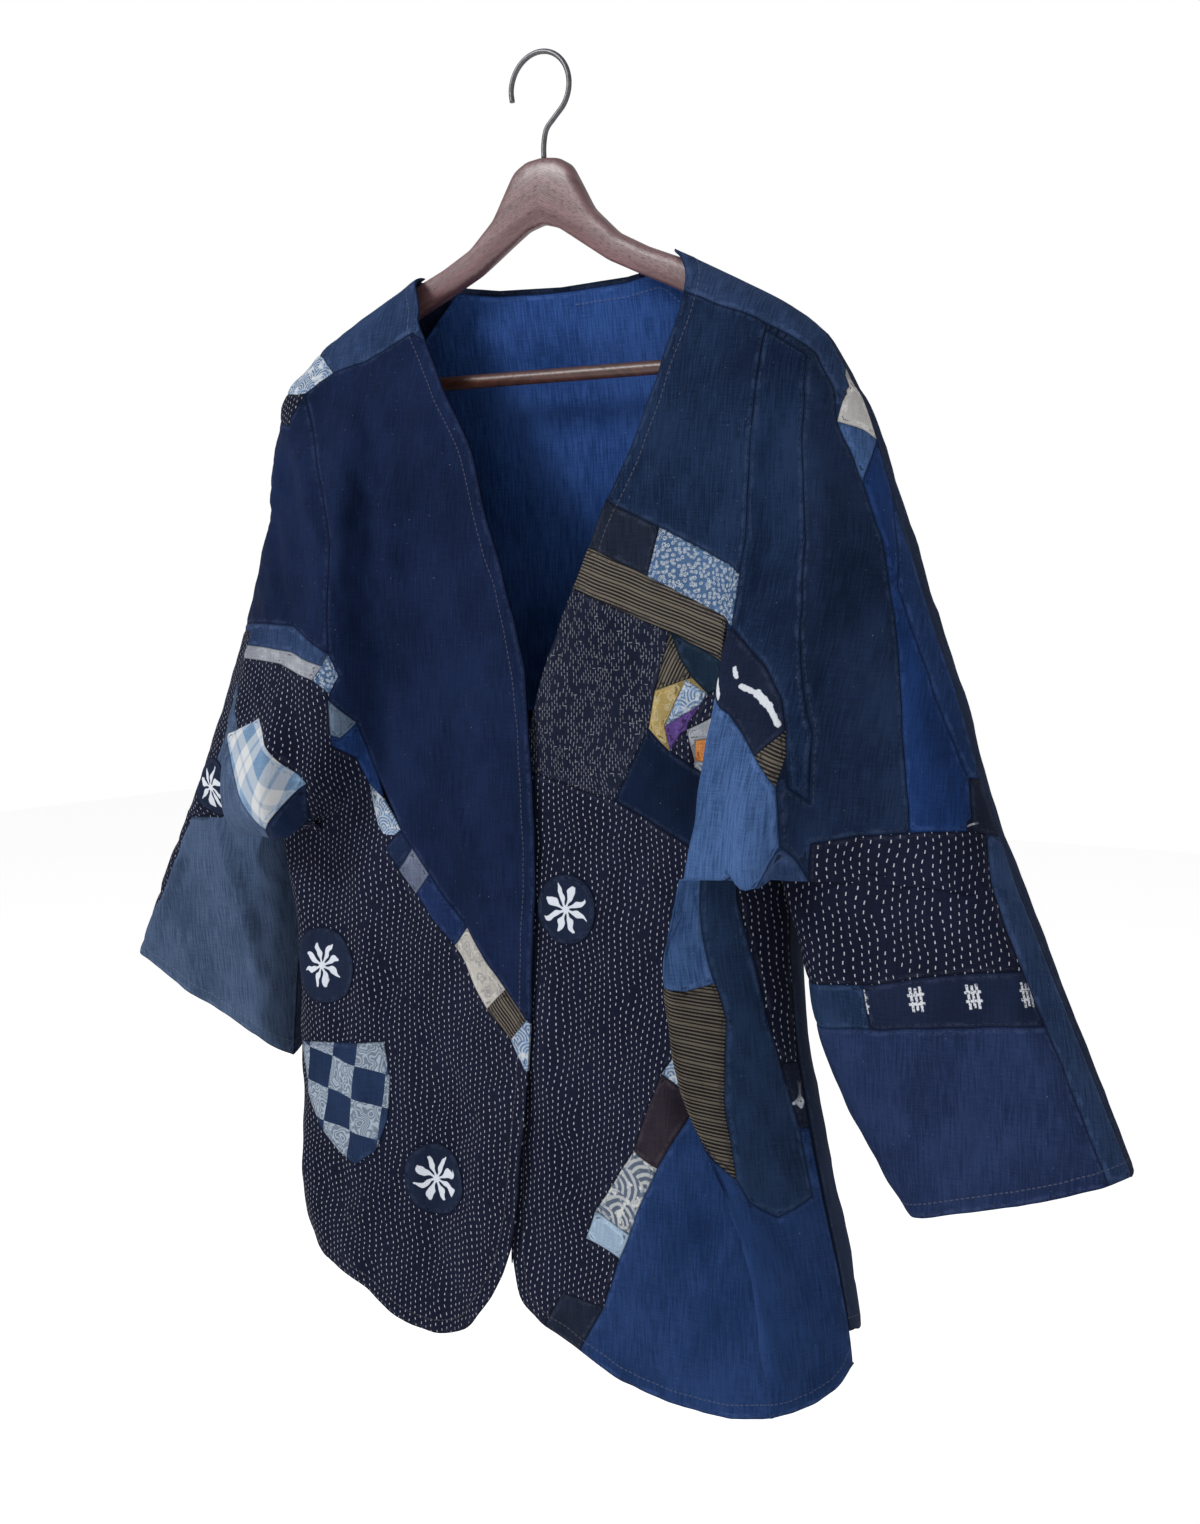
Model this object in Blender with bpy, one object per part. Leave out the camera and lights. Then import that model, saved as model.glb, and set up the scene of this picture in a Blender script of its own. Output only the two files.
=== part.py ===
"""Patched boro jacket on a wooden hanger.

The frame: X runs to the wearer's left, Y to the back, Z up, and the origin is the top of the hook's inner bend.
Each stretch of cloth is a surface worked out from flat chart places (p, r), p out from the middle and r the
height, in metres. The pieces are cut from those charts and given their wall.
"""
import bmesh
import bpy
import numpy as np
from mathutils import Vector
from mathutils.geometry import delaunay_2d_cdt

# Sizes in metres
WALL = 0.0015
SEAM = 0.0004
LAYER_GAP = 0.0004
LAYER = 0.0009
STEP = 0.019
BACK_STEP = 0.030
LINING_GAP = 0.0040
EDGE_STEP = 0.017
CM = 0.01

# Turned edge of each sleeve and shoulder, where front meets back: height, distance out
OUTER = {
    "left": [
        (-0.1325, 0.101), (-0.1545, 0.145), (-0.170, 0.174), (-0.187, 0.197), (-0.203, 0.208), (-0.219, 0.2165),
        (-0.242, 0.2285), (-0.354, 0.265), (-0.411, 0.286), (-0.473, 0.307), (-0.546, 0.339), (-0.659, 0.389),
        (-0.730, 0.420),
    ],
    "right": [
        (-0.1325, 0.101), (-0.1545, 0.145), (-0.170, 0.174), (-0.187, 0.197), (-0.203, 0.208), (-0.2355, 0.215),
        (-0.292, 0.220), (-0.354, 0.236), (-0.450, 0.278), (-0.525, 0.316), (-0.610, 0.364), (-0.680, 0.404),
    ],
}
# Inner edge of each lower sleeve, and each side of the lower body: height, distance out
INNER = {
    "left": [(-0.505, 0.1850), (-0.555, 0.193), (-0.606, 0.205), (-0.650, 0.225), (-0.705, 0.262), (-0.760, 0.298)],
    "right": [(-0.500, 0.2042), (-0.550, 0.210), (-0.600, 0.216), (-0.668, 0.222), (-0.730, 0.226)],
}
SIDE = {
    "left": [
        (-0.505, 0.1808), (-0.555, 0.180), (-0.606, 0.184), (-0.650, 0.192), (-0.700, 0.203), (-0.750, 0.215),
        (-0.800, 0.224), (-0.850, 0.226),
    ],
    "right": [
        (-0.500, 0.2000), (-0.550, 0.196), (-0.600, 0.192), (-0.660, 0.190), (-0.754, 0.190), (-0.800, 0.178),
        (-0.850, 0.170),
    ],
}
# Height at which the wide upper part divides into body and sleeve
SPLIT = {"left": -0.505, "right": -0.500}

# Half depth of the cloth: height, front body, front sleeve, back body, back sleeve
DEPTH = [
    (-0.90, 0.056, 0.020, 0.050, 0.020),
    (-0.75, 0.054, 0.022, 0.048, 0.022),
    (-0.66, 0.052, 0.024, 0.047, 0.024),
    (-0.58, 0.050, 0.032, 0.046, 0.030),
    (-0.50, 0.048, 0.040, 0.046, 0.036),
    (-0.40, 0.049, 0.044, 0.046, 0.040),
    (-0.33, 0.050, 0.046, 0.045, 0.041),
    (-0.26, 0.046, 0.043, 0.042, 0.038),
    (-0.21, 0.038, 0.034, 0.036, 0.032),
    (-0.17, 0.027, 0.024, 0.028, 0.024),
    (-0.13, 0.018, 0.018, 0.020, 0.018),
]
NOSE = 0.62
SLEEVE_GAP = 0.0012
SLEEVE_FROM = 0.15
SLEEVE_BLEND = 0.08

# The large fold beside each sleeve: height, place of its crest, how far it stands out, the width it takes up
CREST = {
    "left": [
        (-0.90, 0.205, 0.004, 0.003), (-0.80, 0.203, 0.006, 0.005), (-0.74, 0.198, 0.012, 0.010),
        (-0.70, 0.186, 0.020, 0.016), (-0.646, 0.165, 0.030, 0.024), (-0.576, 0.153, 0.037, 0.030),
        (-0.52, 0.158, 0.036, 0.029), (-0.46, 0.164, 0.030, 0.024), (-0.41, 0.168, 0.022, 0.018),
        (-0.36, 0.170, 0.010, 0.008), (-0.31, 0.171, 0.0, 0.0), (-0.10, 0.171, 0.0, 0.0),
    ],
    "right": [
        (-0.90, 0.150, 0.0, 0.0), (-0.530, 0.150, 0.0, 0.0), (-0.500, 0.150, 0.002, 0.024), (-0.488, 0.148, 0.020, 0.026),
        (-0.470, 0.142, 0.034, 0.026), (-0.44, 0.130, 0.037, 0.026), (-0.40, 0.119, 0.036, 0.025),
        (-0.36, 0.118, 0.033, 0.024), (-0.30, 0.120, 0.026, 0.018), (-0.26, 0.122, 0.017, 0.008),
        (-0.21, 0.126, 0.0, 0.0), (-0.10, 0.130, 0.0, 0.0),
    ],
}
FALL = {"left": 0.060, "right": 0.115}

# The pouch of cloth that hangs over each underarm: from, to (out), depth, drop
POUCH_FROM = 0.19
POUCH = {"left": (0.195, 0.250, 0.014, 0.018), "right": (0.165, 0.262, 0.024, 0.020)}

# Soft hanging folds: side, face, out and height of the top, out and height of the foot, depth, half width
SOFT_FOLDS = [
    ("left", "front", 0.175, -0.19, 0.172, -0.36, 0.004, 0.012),
    ("left", "front", 0.222, -0.23, 0.232, -0.46, 0.009, 0.014),
    ("left", "front", 0.252, -0.27, 0.300, -0.49, -0.006, 0.016),
    ("left", "front", 0.120, -0.58, 0.105, -0.84, 0.006, 0.022),
    ("left", "front", 0.210, -0.66, 0.225, -0.84, 0.006, 0.020),
    ("right", "front", 0.090, -0.24, 0.085, -0.47, 0.006, 0.014),
    ("right", "front", 0.195, -0.23, 0.160, -0.33, -0.006, 0.014),
    ("right", "front", 0.110, -0.50, 0.118, -0.80, 0.006, 0.016),
    ("right", "front", 0.050, -0.62, 0.055, -0.84, -0.006, 0.022),
    ("left", "back", 0.150, -0.24, 0.140, -0.58, 0.009, 0.022),
    ("left", "back", 0.060, -0.40, 0.070, -0.82, -0.007, 0.025),
    ("left", "back", 0.225, -0.26, 0.265, -0.50, 0.008, 0.018),
    ("right", "back", 0.145, -0.24, 0.135, -0.58, 0.009, 0.022),
    ("right", "back", 0.070, -0.42, 0.075, -0.82, -0.007, 0.025),
    ("right", "back", 0.215, -0.26, 0.250, -0.50, 0.008, 0.018),
]

# Free edges in centimetres: out and height
LAPEL = {
    "left": [
        (10.2, -12.0), (11.5, -14.5), (11.7, -16.1), (11.2, -18.8), (9.3, -25.0), (7.3, -29.3),
        (5.3, -33.8), (3.0, -39.3), (1.6, -43.0), (0.8, -47.0), (0.8, -74.5),
    ],
    "right": [
        (10.2, -12.0), (8.9, -14.0), (8.3, -15.5), (8.0, -16.9), (5.2, -21.2), (2.6, -25.3),
        (0.7, -30.8), (-0.9, -35.5), (-1.9, -40.0), (-2.4, -45.0), (-2.6, -51.0), (-2.5, -58.0),
        (-2.2, -66.0), (-1.5, -73.0),
    ],
}
HEM = {
    "left": [
        (0.9, -76.5), (1.4, -79.2), (3.0, -80.4), (5.8, -81.5), (10.5, -83.1), (16.0, -83.5),
        (20.5, -82.6), (24.5, -81.8), (26.6, -80.6), (27.4, -78.5),
    ],
    "right": [
        (-1.0, -76.0), (0.0, -78.6), (1.4, -80.7), (3.0, -82.3), (5.6, -83.1), (8.5, -82.6),
        (11.9, -80.9), (14.6, -79.8), (17.5, -79.2), (20.5, -78.4), (22.0, -76.5),
    ],
}
CUFF = {
    "left": [(24.8, -71.0), (29.5, -69.5), (34.5, -67.9), (38.6, -66.2), (41.5, -65.2)],
    "right": [(20.5, -67.9), (23.8, -65.9), (26.5, -64.8), (30.0, -63.5), (33.0, -62.0), (36.5, -60.4), (39.5, -59.8)],
}
BACK_NECK = [(0.0, -14.2), (5.0, -14.0), (8.5, -13.5), (10.2, -12.6)]
BACK_HEM = {
    "left": [(0.0, -80.5), (14.0, -80.3), (22.0, -79.6), (26.5, -77.8)],
    "right": [(0.0, -80.5), (12.0, -80.2), (18.0, -79.2), (22.0, -77.0)],
}

# Pieces of each front chart: name, zone, layer, colour, corners in centimetres (out, height).
# A later pieced row replaces what lies under it; an applied row is sewn on top.
FRONT_PIECES = {
    "right": [
        ("front_right_sashiko", "body", "pieced", "indigo_black", [(-6, -48), (40, -48), (40, -90), (-6, -90)]),
        ("sleeve_right_upper", "upper", "pieced", "faded_navy",
         [(17.2, -20.6), (15.4, -23.8), (14.4, -27.0), (13.9, -31.0), (13.8, -38.0), (18.0, -42.0), (40, -42), (40, -15), (22, -15)]),
        ("front_right_panel", "both", "pieced", "faded_navy",
         [(-5, -10), (14, -10), (14.9, -19.3), (17.2, -20.6), (15.4, -23.8), (14.4, -27.0), (13.9, -31.0), (13.8, -41.0),
          (11.7, -42.5), (10.3, -46.0), (8.3, -49.6), (6.0, -52.4), (2.8, -55.6), (-0.5, -59.2), (-2.1, -61.0), (-5, -61.2)]),
        ("sleeve_right_sashiko", "upper", "pieced", "indigo_black",
         [(24.4, -38.3), (18.5, -38.7), (15.1, -39.7), (13.7, -40.6), (13.7, -44.0), (11.9, -44.9), (11.0, -46.7), (10.3, -49.4),
          (9.6, -50.2), (9.6, -52), (40, -52), (40, -37.0)]),
        ("shoulder_strip_right", "upper", "pieced", "slate",
         [(5, -10), (30, -10), (19.3, -16.4), (16.3, -18.0), (14.9, -19.3), (11.0, -18.2), (8.6, -17.1), (7.4, -17.6), (6, -14)]),
        ("shoulder_print_right", "upper", "pieced", "pale_print",
         [(14.9, -19.3), (16.3, -18.0), (19.3, -16.4), (21.5, -13), (25, -18.5), (21.3, -19.9), (17.2, -20.6)]),
        ("sleeve_right_slate", "upper", "pieced", "slate",
         [(40, -35.0), (23.3, -35.9), (17.3, -36.2), (13.7, -38.2), (14.4, -38.8), (17.3, -37.9), (23.6, -37.4), (40, -36.0)]),
        ("sleeve_right_band", "upper", "pieced", "oatmeal",
         [(40, -36.0), (23.6, -37.4), (17.3, -37.9), (14.4, -38.8), (15.1, -39.7), (18.5, -38.7), (24.4, -38.3), (40, -37.0)]),
        ("sleeve_right_chambray", "upper", "pieced", "chambray",
         [(24.4, -39.8), (26.9, -44.5), (27.3, -52), (24.9, -52), (20.4, -49.2), (19.0, -48.0), (20.6, -45.4), (22.6, -42.9)]),
        ("diagonal_bright_blue", "upper", "pieced", "bright_blue",
         [(13.7, -43.3), (13.8, -41.0), (11.7, -42.5), (10.3, -46.0), (9.8, -47.6), (11.0, -46.9), (11.9, -45.0), (13.7, -44.2)]),
        ("diagonal_light_print", "upper", "pieced", "pale_print",
         [(9.8, -47.6), (8.3, -49.6), (9.6, -50.6), (10.5, -49.2), (11.0, -46.9)]),
        ("diagonal_dark_navy", "both", "pieced", "dark_blue",
         [(8.3, -49.6), (7.4, -50.8), (8.5, -52.3), (9.6, -50.9)]),
        ("diagonal_royal", "body", "pieced", "royal_navy",
         [(6.0, -52.4), (2.8, -55.6), (3.9, -56.9), (7.2, -53.8)]),
        ("diagonal_cream_print", "body", "pieced", "cream",
         [(2.8, -55.6), (-0.5, -59.2), (0.9, -60.6), (3.9, -56.9)]),
        ("diagonal_brown_stripe", "body", "pieced", "brown_stripe",
         [(-0.5, -59.2), (-2.1, -61.0), (-0.9, -62.4), (0.9, -60.6)]),
        ("patch_plaid", "upper", "pieced", "plaid",
         [(23.7, -43.6), (19.9, -42.3), (16.0, -46.6), (19.0, -48.0)]),
    ],
    "left": [
        ("front_left_dark", "upper", "pieced", "dark_slate",
         [(17.5, -10), (17.4, -33.0), (17.6, -36.0), (15.9, -38.1), (15.0, -45.0), (15.0, -52), (40, -52), (40, -10)]),
        ("front_left_panel", "upper", "pieced", "slate_navy",
         [(-2, -10), (17.5, -10), (17.4, -33.0), (17.6, -36.0), (14.0, -36.0), (0, -30)]),
        ("shoulder_strip_left", "upper", "pieced", "slate",
         [(9, -10), (30, -10), (24.5, -18.2), (23.3, -20.0), (22.9, -24.0), (22.3, -22.0), (21.0, -19.9), (18.1, -18.4), (15.6, -17.4), (11.8, -16.3), (9, -15.8)]),
        ("patch_cream", "upper", "pieced", "cream",
         [(23.3, -20.0), (24.5, -18.2), (28, -20), (28, -22.8), (25.6, -24.3), (22.9, -24.0)]),
        ("sleeve_left_blue", "upper", "pieced", "bright_blue",
         [(25.6, -24.3), (28, -22.8), (40, -22), (40, -44), (35.6, -44.8), (33.6, -46.4), (33.9, -52), (30.2, -52), (30.0, -48.3), (28.6, -40.3), (27.2, -35.3), (25.7, -30.5), (24.7, -27.4)]),
        ("patch_ikat", "upper", "pieced", "ikat",
         [(33.6, -46.4), (35.6, -44.8), (42, -43), (42, -52), (33.9, -52)]),
        ("patch_charcoal", "upper", "pieced", "charcoal",
         [(4, -27.5), (8.2, -28.8), (11.5, -30.2), (10.7, -33.1), (6.7, -31.4), (4, -30.6)]),
        ("patch_pebble", "upper", "pieced", "pale_print",
         [(11.5, -30.2), (17.5, -32.9), (17.6, -36.0), (16.3, -35.6), (10.7, -33.1)]),
        ("band_brown", "upper", "pieced", "brown_stripe",
         [(4, -30.6), (6.7, -31.4), (10.7, -33.1), (16.3, -35.6), (15.9, -38.1), (12.2, -36.4), (5.3, -33.8), (3, -33)]),
        ("field_kasuri", "upper", "pieced", "kasuri",
         [(0, -32), (3, -33), (5.3, -33.8), (12.2, -36.4), (11.6, -38.6), (10.7, -42.2), (8.2, -46.7), (2.3, -45.3), (-1, -44.6)]),
        ("hexagon_ochre", "upper", "pieced", "ochre",
         [(11.2, -39.9), (13.7, -39.1), (14.7, -40.0), (13.4, -41.8), (12.2, -43.5), (10.7, -42.2)]),
        ("hexagon_beige", "upper", "pieced", "cream",
         [(13.3, -42.2), (15.3, -41.3), (17.0, -41.6), (16.6, -45.4), (15.0, -45.0), (13.8, -44.4)]),
        ("piece_dotted", "upper", "pieced", "indigo_black",
         [(14.7, -40.0), (15.6, -39.7), (17.0, -40.0), (17.0, -41.6), (15.3, -41.3), (13.3, -42.2), (13.8, -44.4), (12.2, -43.5), (13.4, -41.8)]),
        ("diamond_indigo", "upper", "pieced", "deep_indigo",
         [(10.7, -42.2), (12.2, -43.5), (13.8, -44.4), (15.0, -45.0), (16.6, -45.4), (15.7, -49.8), (14.0, -49.3), (8.2, -46.7)]),
        ("underarm_disc", "upper", "pieced", "ikat",
         [(15.9, -38.1), (17.6, -36.0), (20.3, -38.2), (22.0, -40.0), (22.7, -41.8), (21.2, -43.3), (19.0, -41.0), (17.0, -40.0), (15.6, -39.7)]),
        ("underarm_denim", "both", "pieced", "light_denim",
         [(17.0, -40.0), (19.0, -41.0), (21.2, -43.3), (22.7, -44.9), (23.1, -47.8), (24.4, -50.5), (20.2, -50.5),
          (20.2, -52.4), (20.7, -57.0), (19.0, -57.4), (15.6, -57.0), (15.7, -49.8), (16.6, -45.4), (17.0, -41.6)]),
        ("front_left_sashiko", "both", "pieced", "indigo_black",
         [(-2, -45), (2.3, -45.3), (8.2, -46.7), (14.0, -49.3), (15.7, -49.8), (15.6, -57.0), (14.8, -58.8), (12.1, -63.0),
          (10.1, -68.1), (7.2, -72.5), (6.6, -74.3), (9.2, -75.0), (8.0, -78.4), (6.2, -81.6), (6.2, -86), (-2, -86)]),
        ("piece_brown_rib", "body", "pieced", "brown_stripe",
         [(15.6, -57.0), (19.0, -57.4), (20.7, -57.0), (21.1, -59.2), (20.6, -64.0), (20.7, -68.3), (18.6, -66.4), (16.6, -63.6), (16.2, -60.0)]),
        ("panel_slate_green", "body", "pieced", "slate_green",
         [(20.2, -49), (22.2, -49), (22.4, -52.4), (23.6, -59.8), (24.9, -65.6), (25.1, -69.6), (22.9, -70.6), (21.3, -69.6), (20.7, -68.3),
          (20.6, -64.0), (21.1, -59.2), (20.7, -57.0), (20.2, -52.4)]),
        ("strip_side_sashiko", "body", "pieced", "indigo_black",
         [(22.2, -49), (30, -49), (30, -61.8), (24.0, -61.8), (23.6, -59.8), (22.4, -52.4)]),
        ("patch_brush", "body", "pieced", "pale_print",
         [(24.0, -61.8), (30, -61.8), (30, -66.2), (24.9, -65.6)]),
        ("piece_wave", "body", "pieced", "pale_print",
         [(14.8, -58.8), (15.6, -57.0), (16.2, -60.0), (16.6, -63.6), (14.5, -64.4), (12.1, -63.0)]),
        ("piece_plum", "body", "pieced", "plum",
         [(12.1, -63.0), (14.5, -64.4), (12.0, -68.8), (10.1, -68.1)]),
        ("piece_fan", "body", "pieced", "pale_print",
         [(10.1, -68.1), (12.0, -68.8), (9.9, -73.4), (7.2, -72.5)]),
        ("panel_royal", "body", "pieced", "royal_blue",
         [(14.5, -64.4), (16.6, -63.6), (18.6, -66.4), (20.7, -68.3), (21.3, -69.6), (22.9, -70.6), (25.1, -69.6), (24.9, -65.6), (30, -66.2),
          (32, -86), (6.2, -86), (6.2, -81.6), (8.0, -78.4), (9.2, -75.0), (9.9, -73.4), (12.0, -68.8)]),
    ],
}
SLEEVE_PIECES = {
    "right": [
        ("sleeve_right_lower", "pieced", "chambray", [(10, -45), (45, -45), (45, -75), (10, -75)]),
    ],
    "left": [
        ("sleeve_left_lower", "pieced", "indigo_cloth", [(10, -45), (45, -45), (45, -75), (10, -75)]),
        ("sleeve_left_sashiko", "pieced", "indigo_black",
         [(10, -45), (32.2, -45), (32.2, -49.4), (34.1, -54.6), (30.0, -55.3), (24.2, -56.6), (20.8, -57.3), (10, -59)]),
        ("sleeve_left_kasuri", "pieced", "kasuri_band",
         [(24.2, -56.6), (30.0, -55.3), (34.1, -54.6), (35.3, -57.6), (30.0, -58.4), (24.6, -59.2)]),
        ("sleeve_left_slate", "pieced", "slate",
         [(32.2, -45), (45, -45), (45, -75), (41.5, -75), (38.8, -66.5), (36.1, -59.4), (35.3, -57.6), (34.1, -54.6), (32.2, -49.4)]),
    ],
}
# Round and rounded pieces sewn on top: name, chart, side, zone, colour, middle (out, height) and half sizes in centimetres
ROUNDELS = [
    ("roundel_front_left", "front", "left", "body", 4.9, -53.7, 2.2, 2.2),
    ("roundel_side_right", "front", "right", "body", 14.8, -59.3, 2.9, 2.6),
    ("roundel_hem_right", "front", "right", "body", 5.5, -72.7, 2.4, 2.4),
]
POCKET = [
    (17.5, -64.9), (13.9, -64.5), (9.5, -63.9), (9.0, -66.2), (9.2, -69.2), (10.1, -71.4), (11.6, -72.5),
    (13.3, -72.0), (15.1, -70.3), (16.6, -68.0),
]

COLOURS = {
    "faded_navy": (0.055, 0.075, 0.150), "indigo_black": (0.020, 0.023, 0.050), "slate": (0.095, 0.135, 0.205),
    "pale_print": (0.42, 0.50, 0.62), "oatmeal": (0.55, 0.54, 0.50), "chambray": (0.17, 0.24, 0.37),
    "dark_blue": (0.025, 0.06, 0.14), "denim_grey": (0.22, 0.27, 0.33), "bright_blue": (0.06, 0.14, 0.32),
    "grey_heather": (0.25, 0.28, 0.36), "royal_navy": (0.035, 0.07, 0.20), "cream": (0.68, 0.65, 0.58),
    "brown_stripe": (0.17, 0.14, 0.11), "plaid": (0.50, 0.55, 0.60), "dark_slate": (0.04, 0.07, 0.13),
    "slate_navy": (0.05, 0.085, 0.13), "light_denim": (0.20, 0.32, 0.52), "ikat": (0.06, 0.08, 0.14),
    "charcoal": (0.05, 0.06, 0.08), "kasuri": (0.06, 0.065, 0.085), "teal": (0.025, 0.06, 0.09),
    "ochre": (0.50, 0.40, 0.18), "deep_indigo": (0.02, 0.035, 0.07), "slate_green": (0.05, 0.085, 0.12),
    "plum": (0.075, 0.05, 0.06), "pale_blue": (0.50, 0.60, 0.68), "royal_blue": (0.05, 0.12, 0.30),
    "indigo_cloth": (0.045, 0.075, 0.17), "kasuri_band": (0.03, 0.04, 0.085), "roundel": (0.035, 0.055, 0.11),
    "pocket": (0.10, 0.16, 0.28), "lining": (0.045, 0.12, 0.30), "back_cloth": (0.04, 0.065, 0.14),
    "wood": (0.22, 0.10, 0.07), "bar_wood": (0.16, 0.06, 0.035), "steel": (0.42, 0.42, 0.43),
}

# Hanger: out and height along the top and the underside of one arm
ARM_TOP = [
    (0.0, -0.0645), (0.012, -0.066), (0.021, -0.071), (0.028, -0.083), (0.037, -0.099), (0.056, -0.1165),
    (0.078, -0.1275), (0.102, -0.1368), (0.125, -0.1480), (0.145, -0.1585), (0.165, -0.1695), (0.180, -0.1800),
    (0.190, -0.1900), (0.193, -0.2000),
]
ARM_FOOT = [
    (0.193, -0.2100), (0.180, -0.2125), (0.1690, -0.2110), (0.1665, -0.1945), (0.140, -0.1770), (0.100, -0.1560),
    (0.073, -0.1440), (0.050, -0.1335), (0.012, -0.1095), (0.0, -0.1062),
]
ARM_THICK = 0.013
ARM_ROUND = 0.0035
BAR_RADIUS = 0.0045
BAR_HEIGHT = -0.2015
BAR_HALF = 0.1662
WIRE = 0.0017
HOOK_CENTRE = (-0.003, -0.0205)
HOOK_RADIUS = 0.0222


def smooth(t):
    """Ease from 0 to 1 as t goes from 0 to 1."""
    t = np.clip(t, 0.0, 1.0)
    return t * t * (3.0 - 2.0 * t)


def curve(rows, per=8):
    """Smooth curve through the rows, with per points to each span."""
    a = np.asarray(rows, float)
    a = np.vstack([2 * a[0] - a[1], a, 2 * a[-1] - a[-2]])
    t = np.arange(per)[:, None] / per
    spans = [
        0.5 * (2 * b + (c - a0) * t + (2 * a0 - 5 * b + 4 * c - d) * t ** 2 + (3 * b - a0 - 3 * c + d) * t ** 3)
        for a0, b, c, d in zip(a[:-3], a[1:-2], a[2:-1], a[3:])
    ]
    return np.vstack(spans + [a[-2:-1]])


def column(rows, z, k):
    """Column k of a table whose first column is the height, with a smooth curve between its rows."""
    a = np.asarray(rows, float)
    x, v = a[:, 0], a[:, k]
    slope = np.gradient(v, x)
    i = np.clip(np.searchsorted(x, z) - 1, 0, len(x) - 2)
    h = x[i + 1] - x[i]
    t = np.clip((z - x[i]) / h, 0.0, 1.0)
    return ((1 + 2 * t) * (1 - t) ** 2 * v[i] + t * (1 - t) ** 2 * h * slope[i]
            + t * t * (3 - 2 * t) * v[i + 1] + t * t * (t - 1) * h * slope[i + 1])


def quarter(w, h):
    """Length of a quarter of an ellipse with half axes w and h."""
    return np.pi / 4 * (3 * (w + h) - np.sqrt((3 * w + h) * (w + 3 * h)))


def flank_width(deep):
    """How much cloth the steep side of a large fold takes."""
    return np.maximum(1.55 * deep + 0.005, 0.012)


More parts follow.
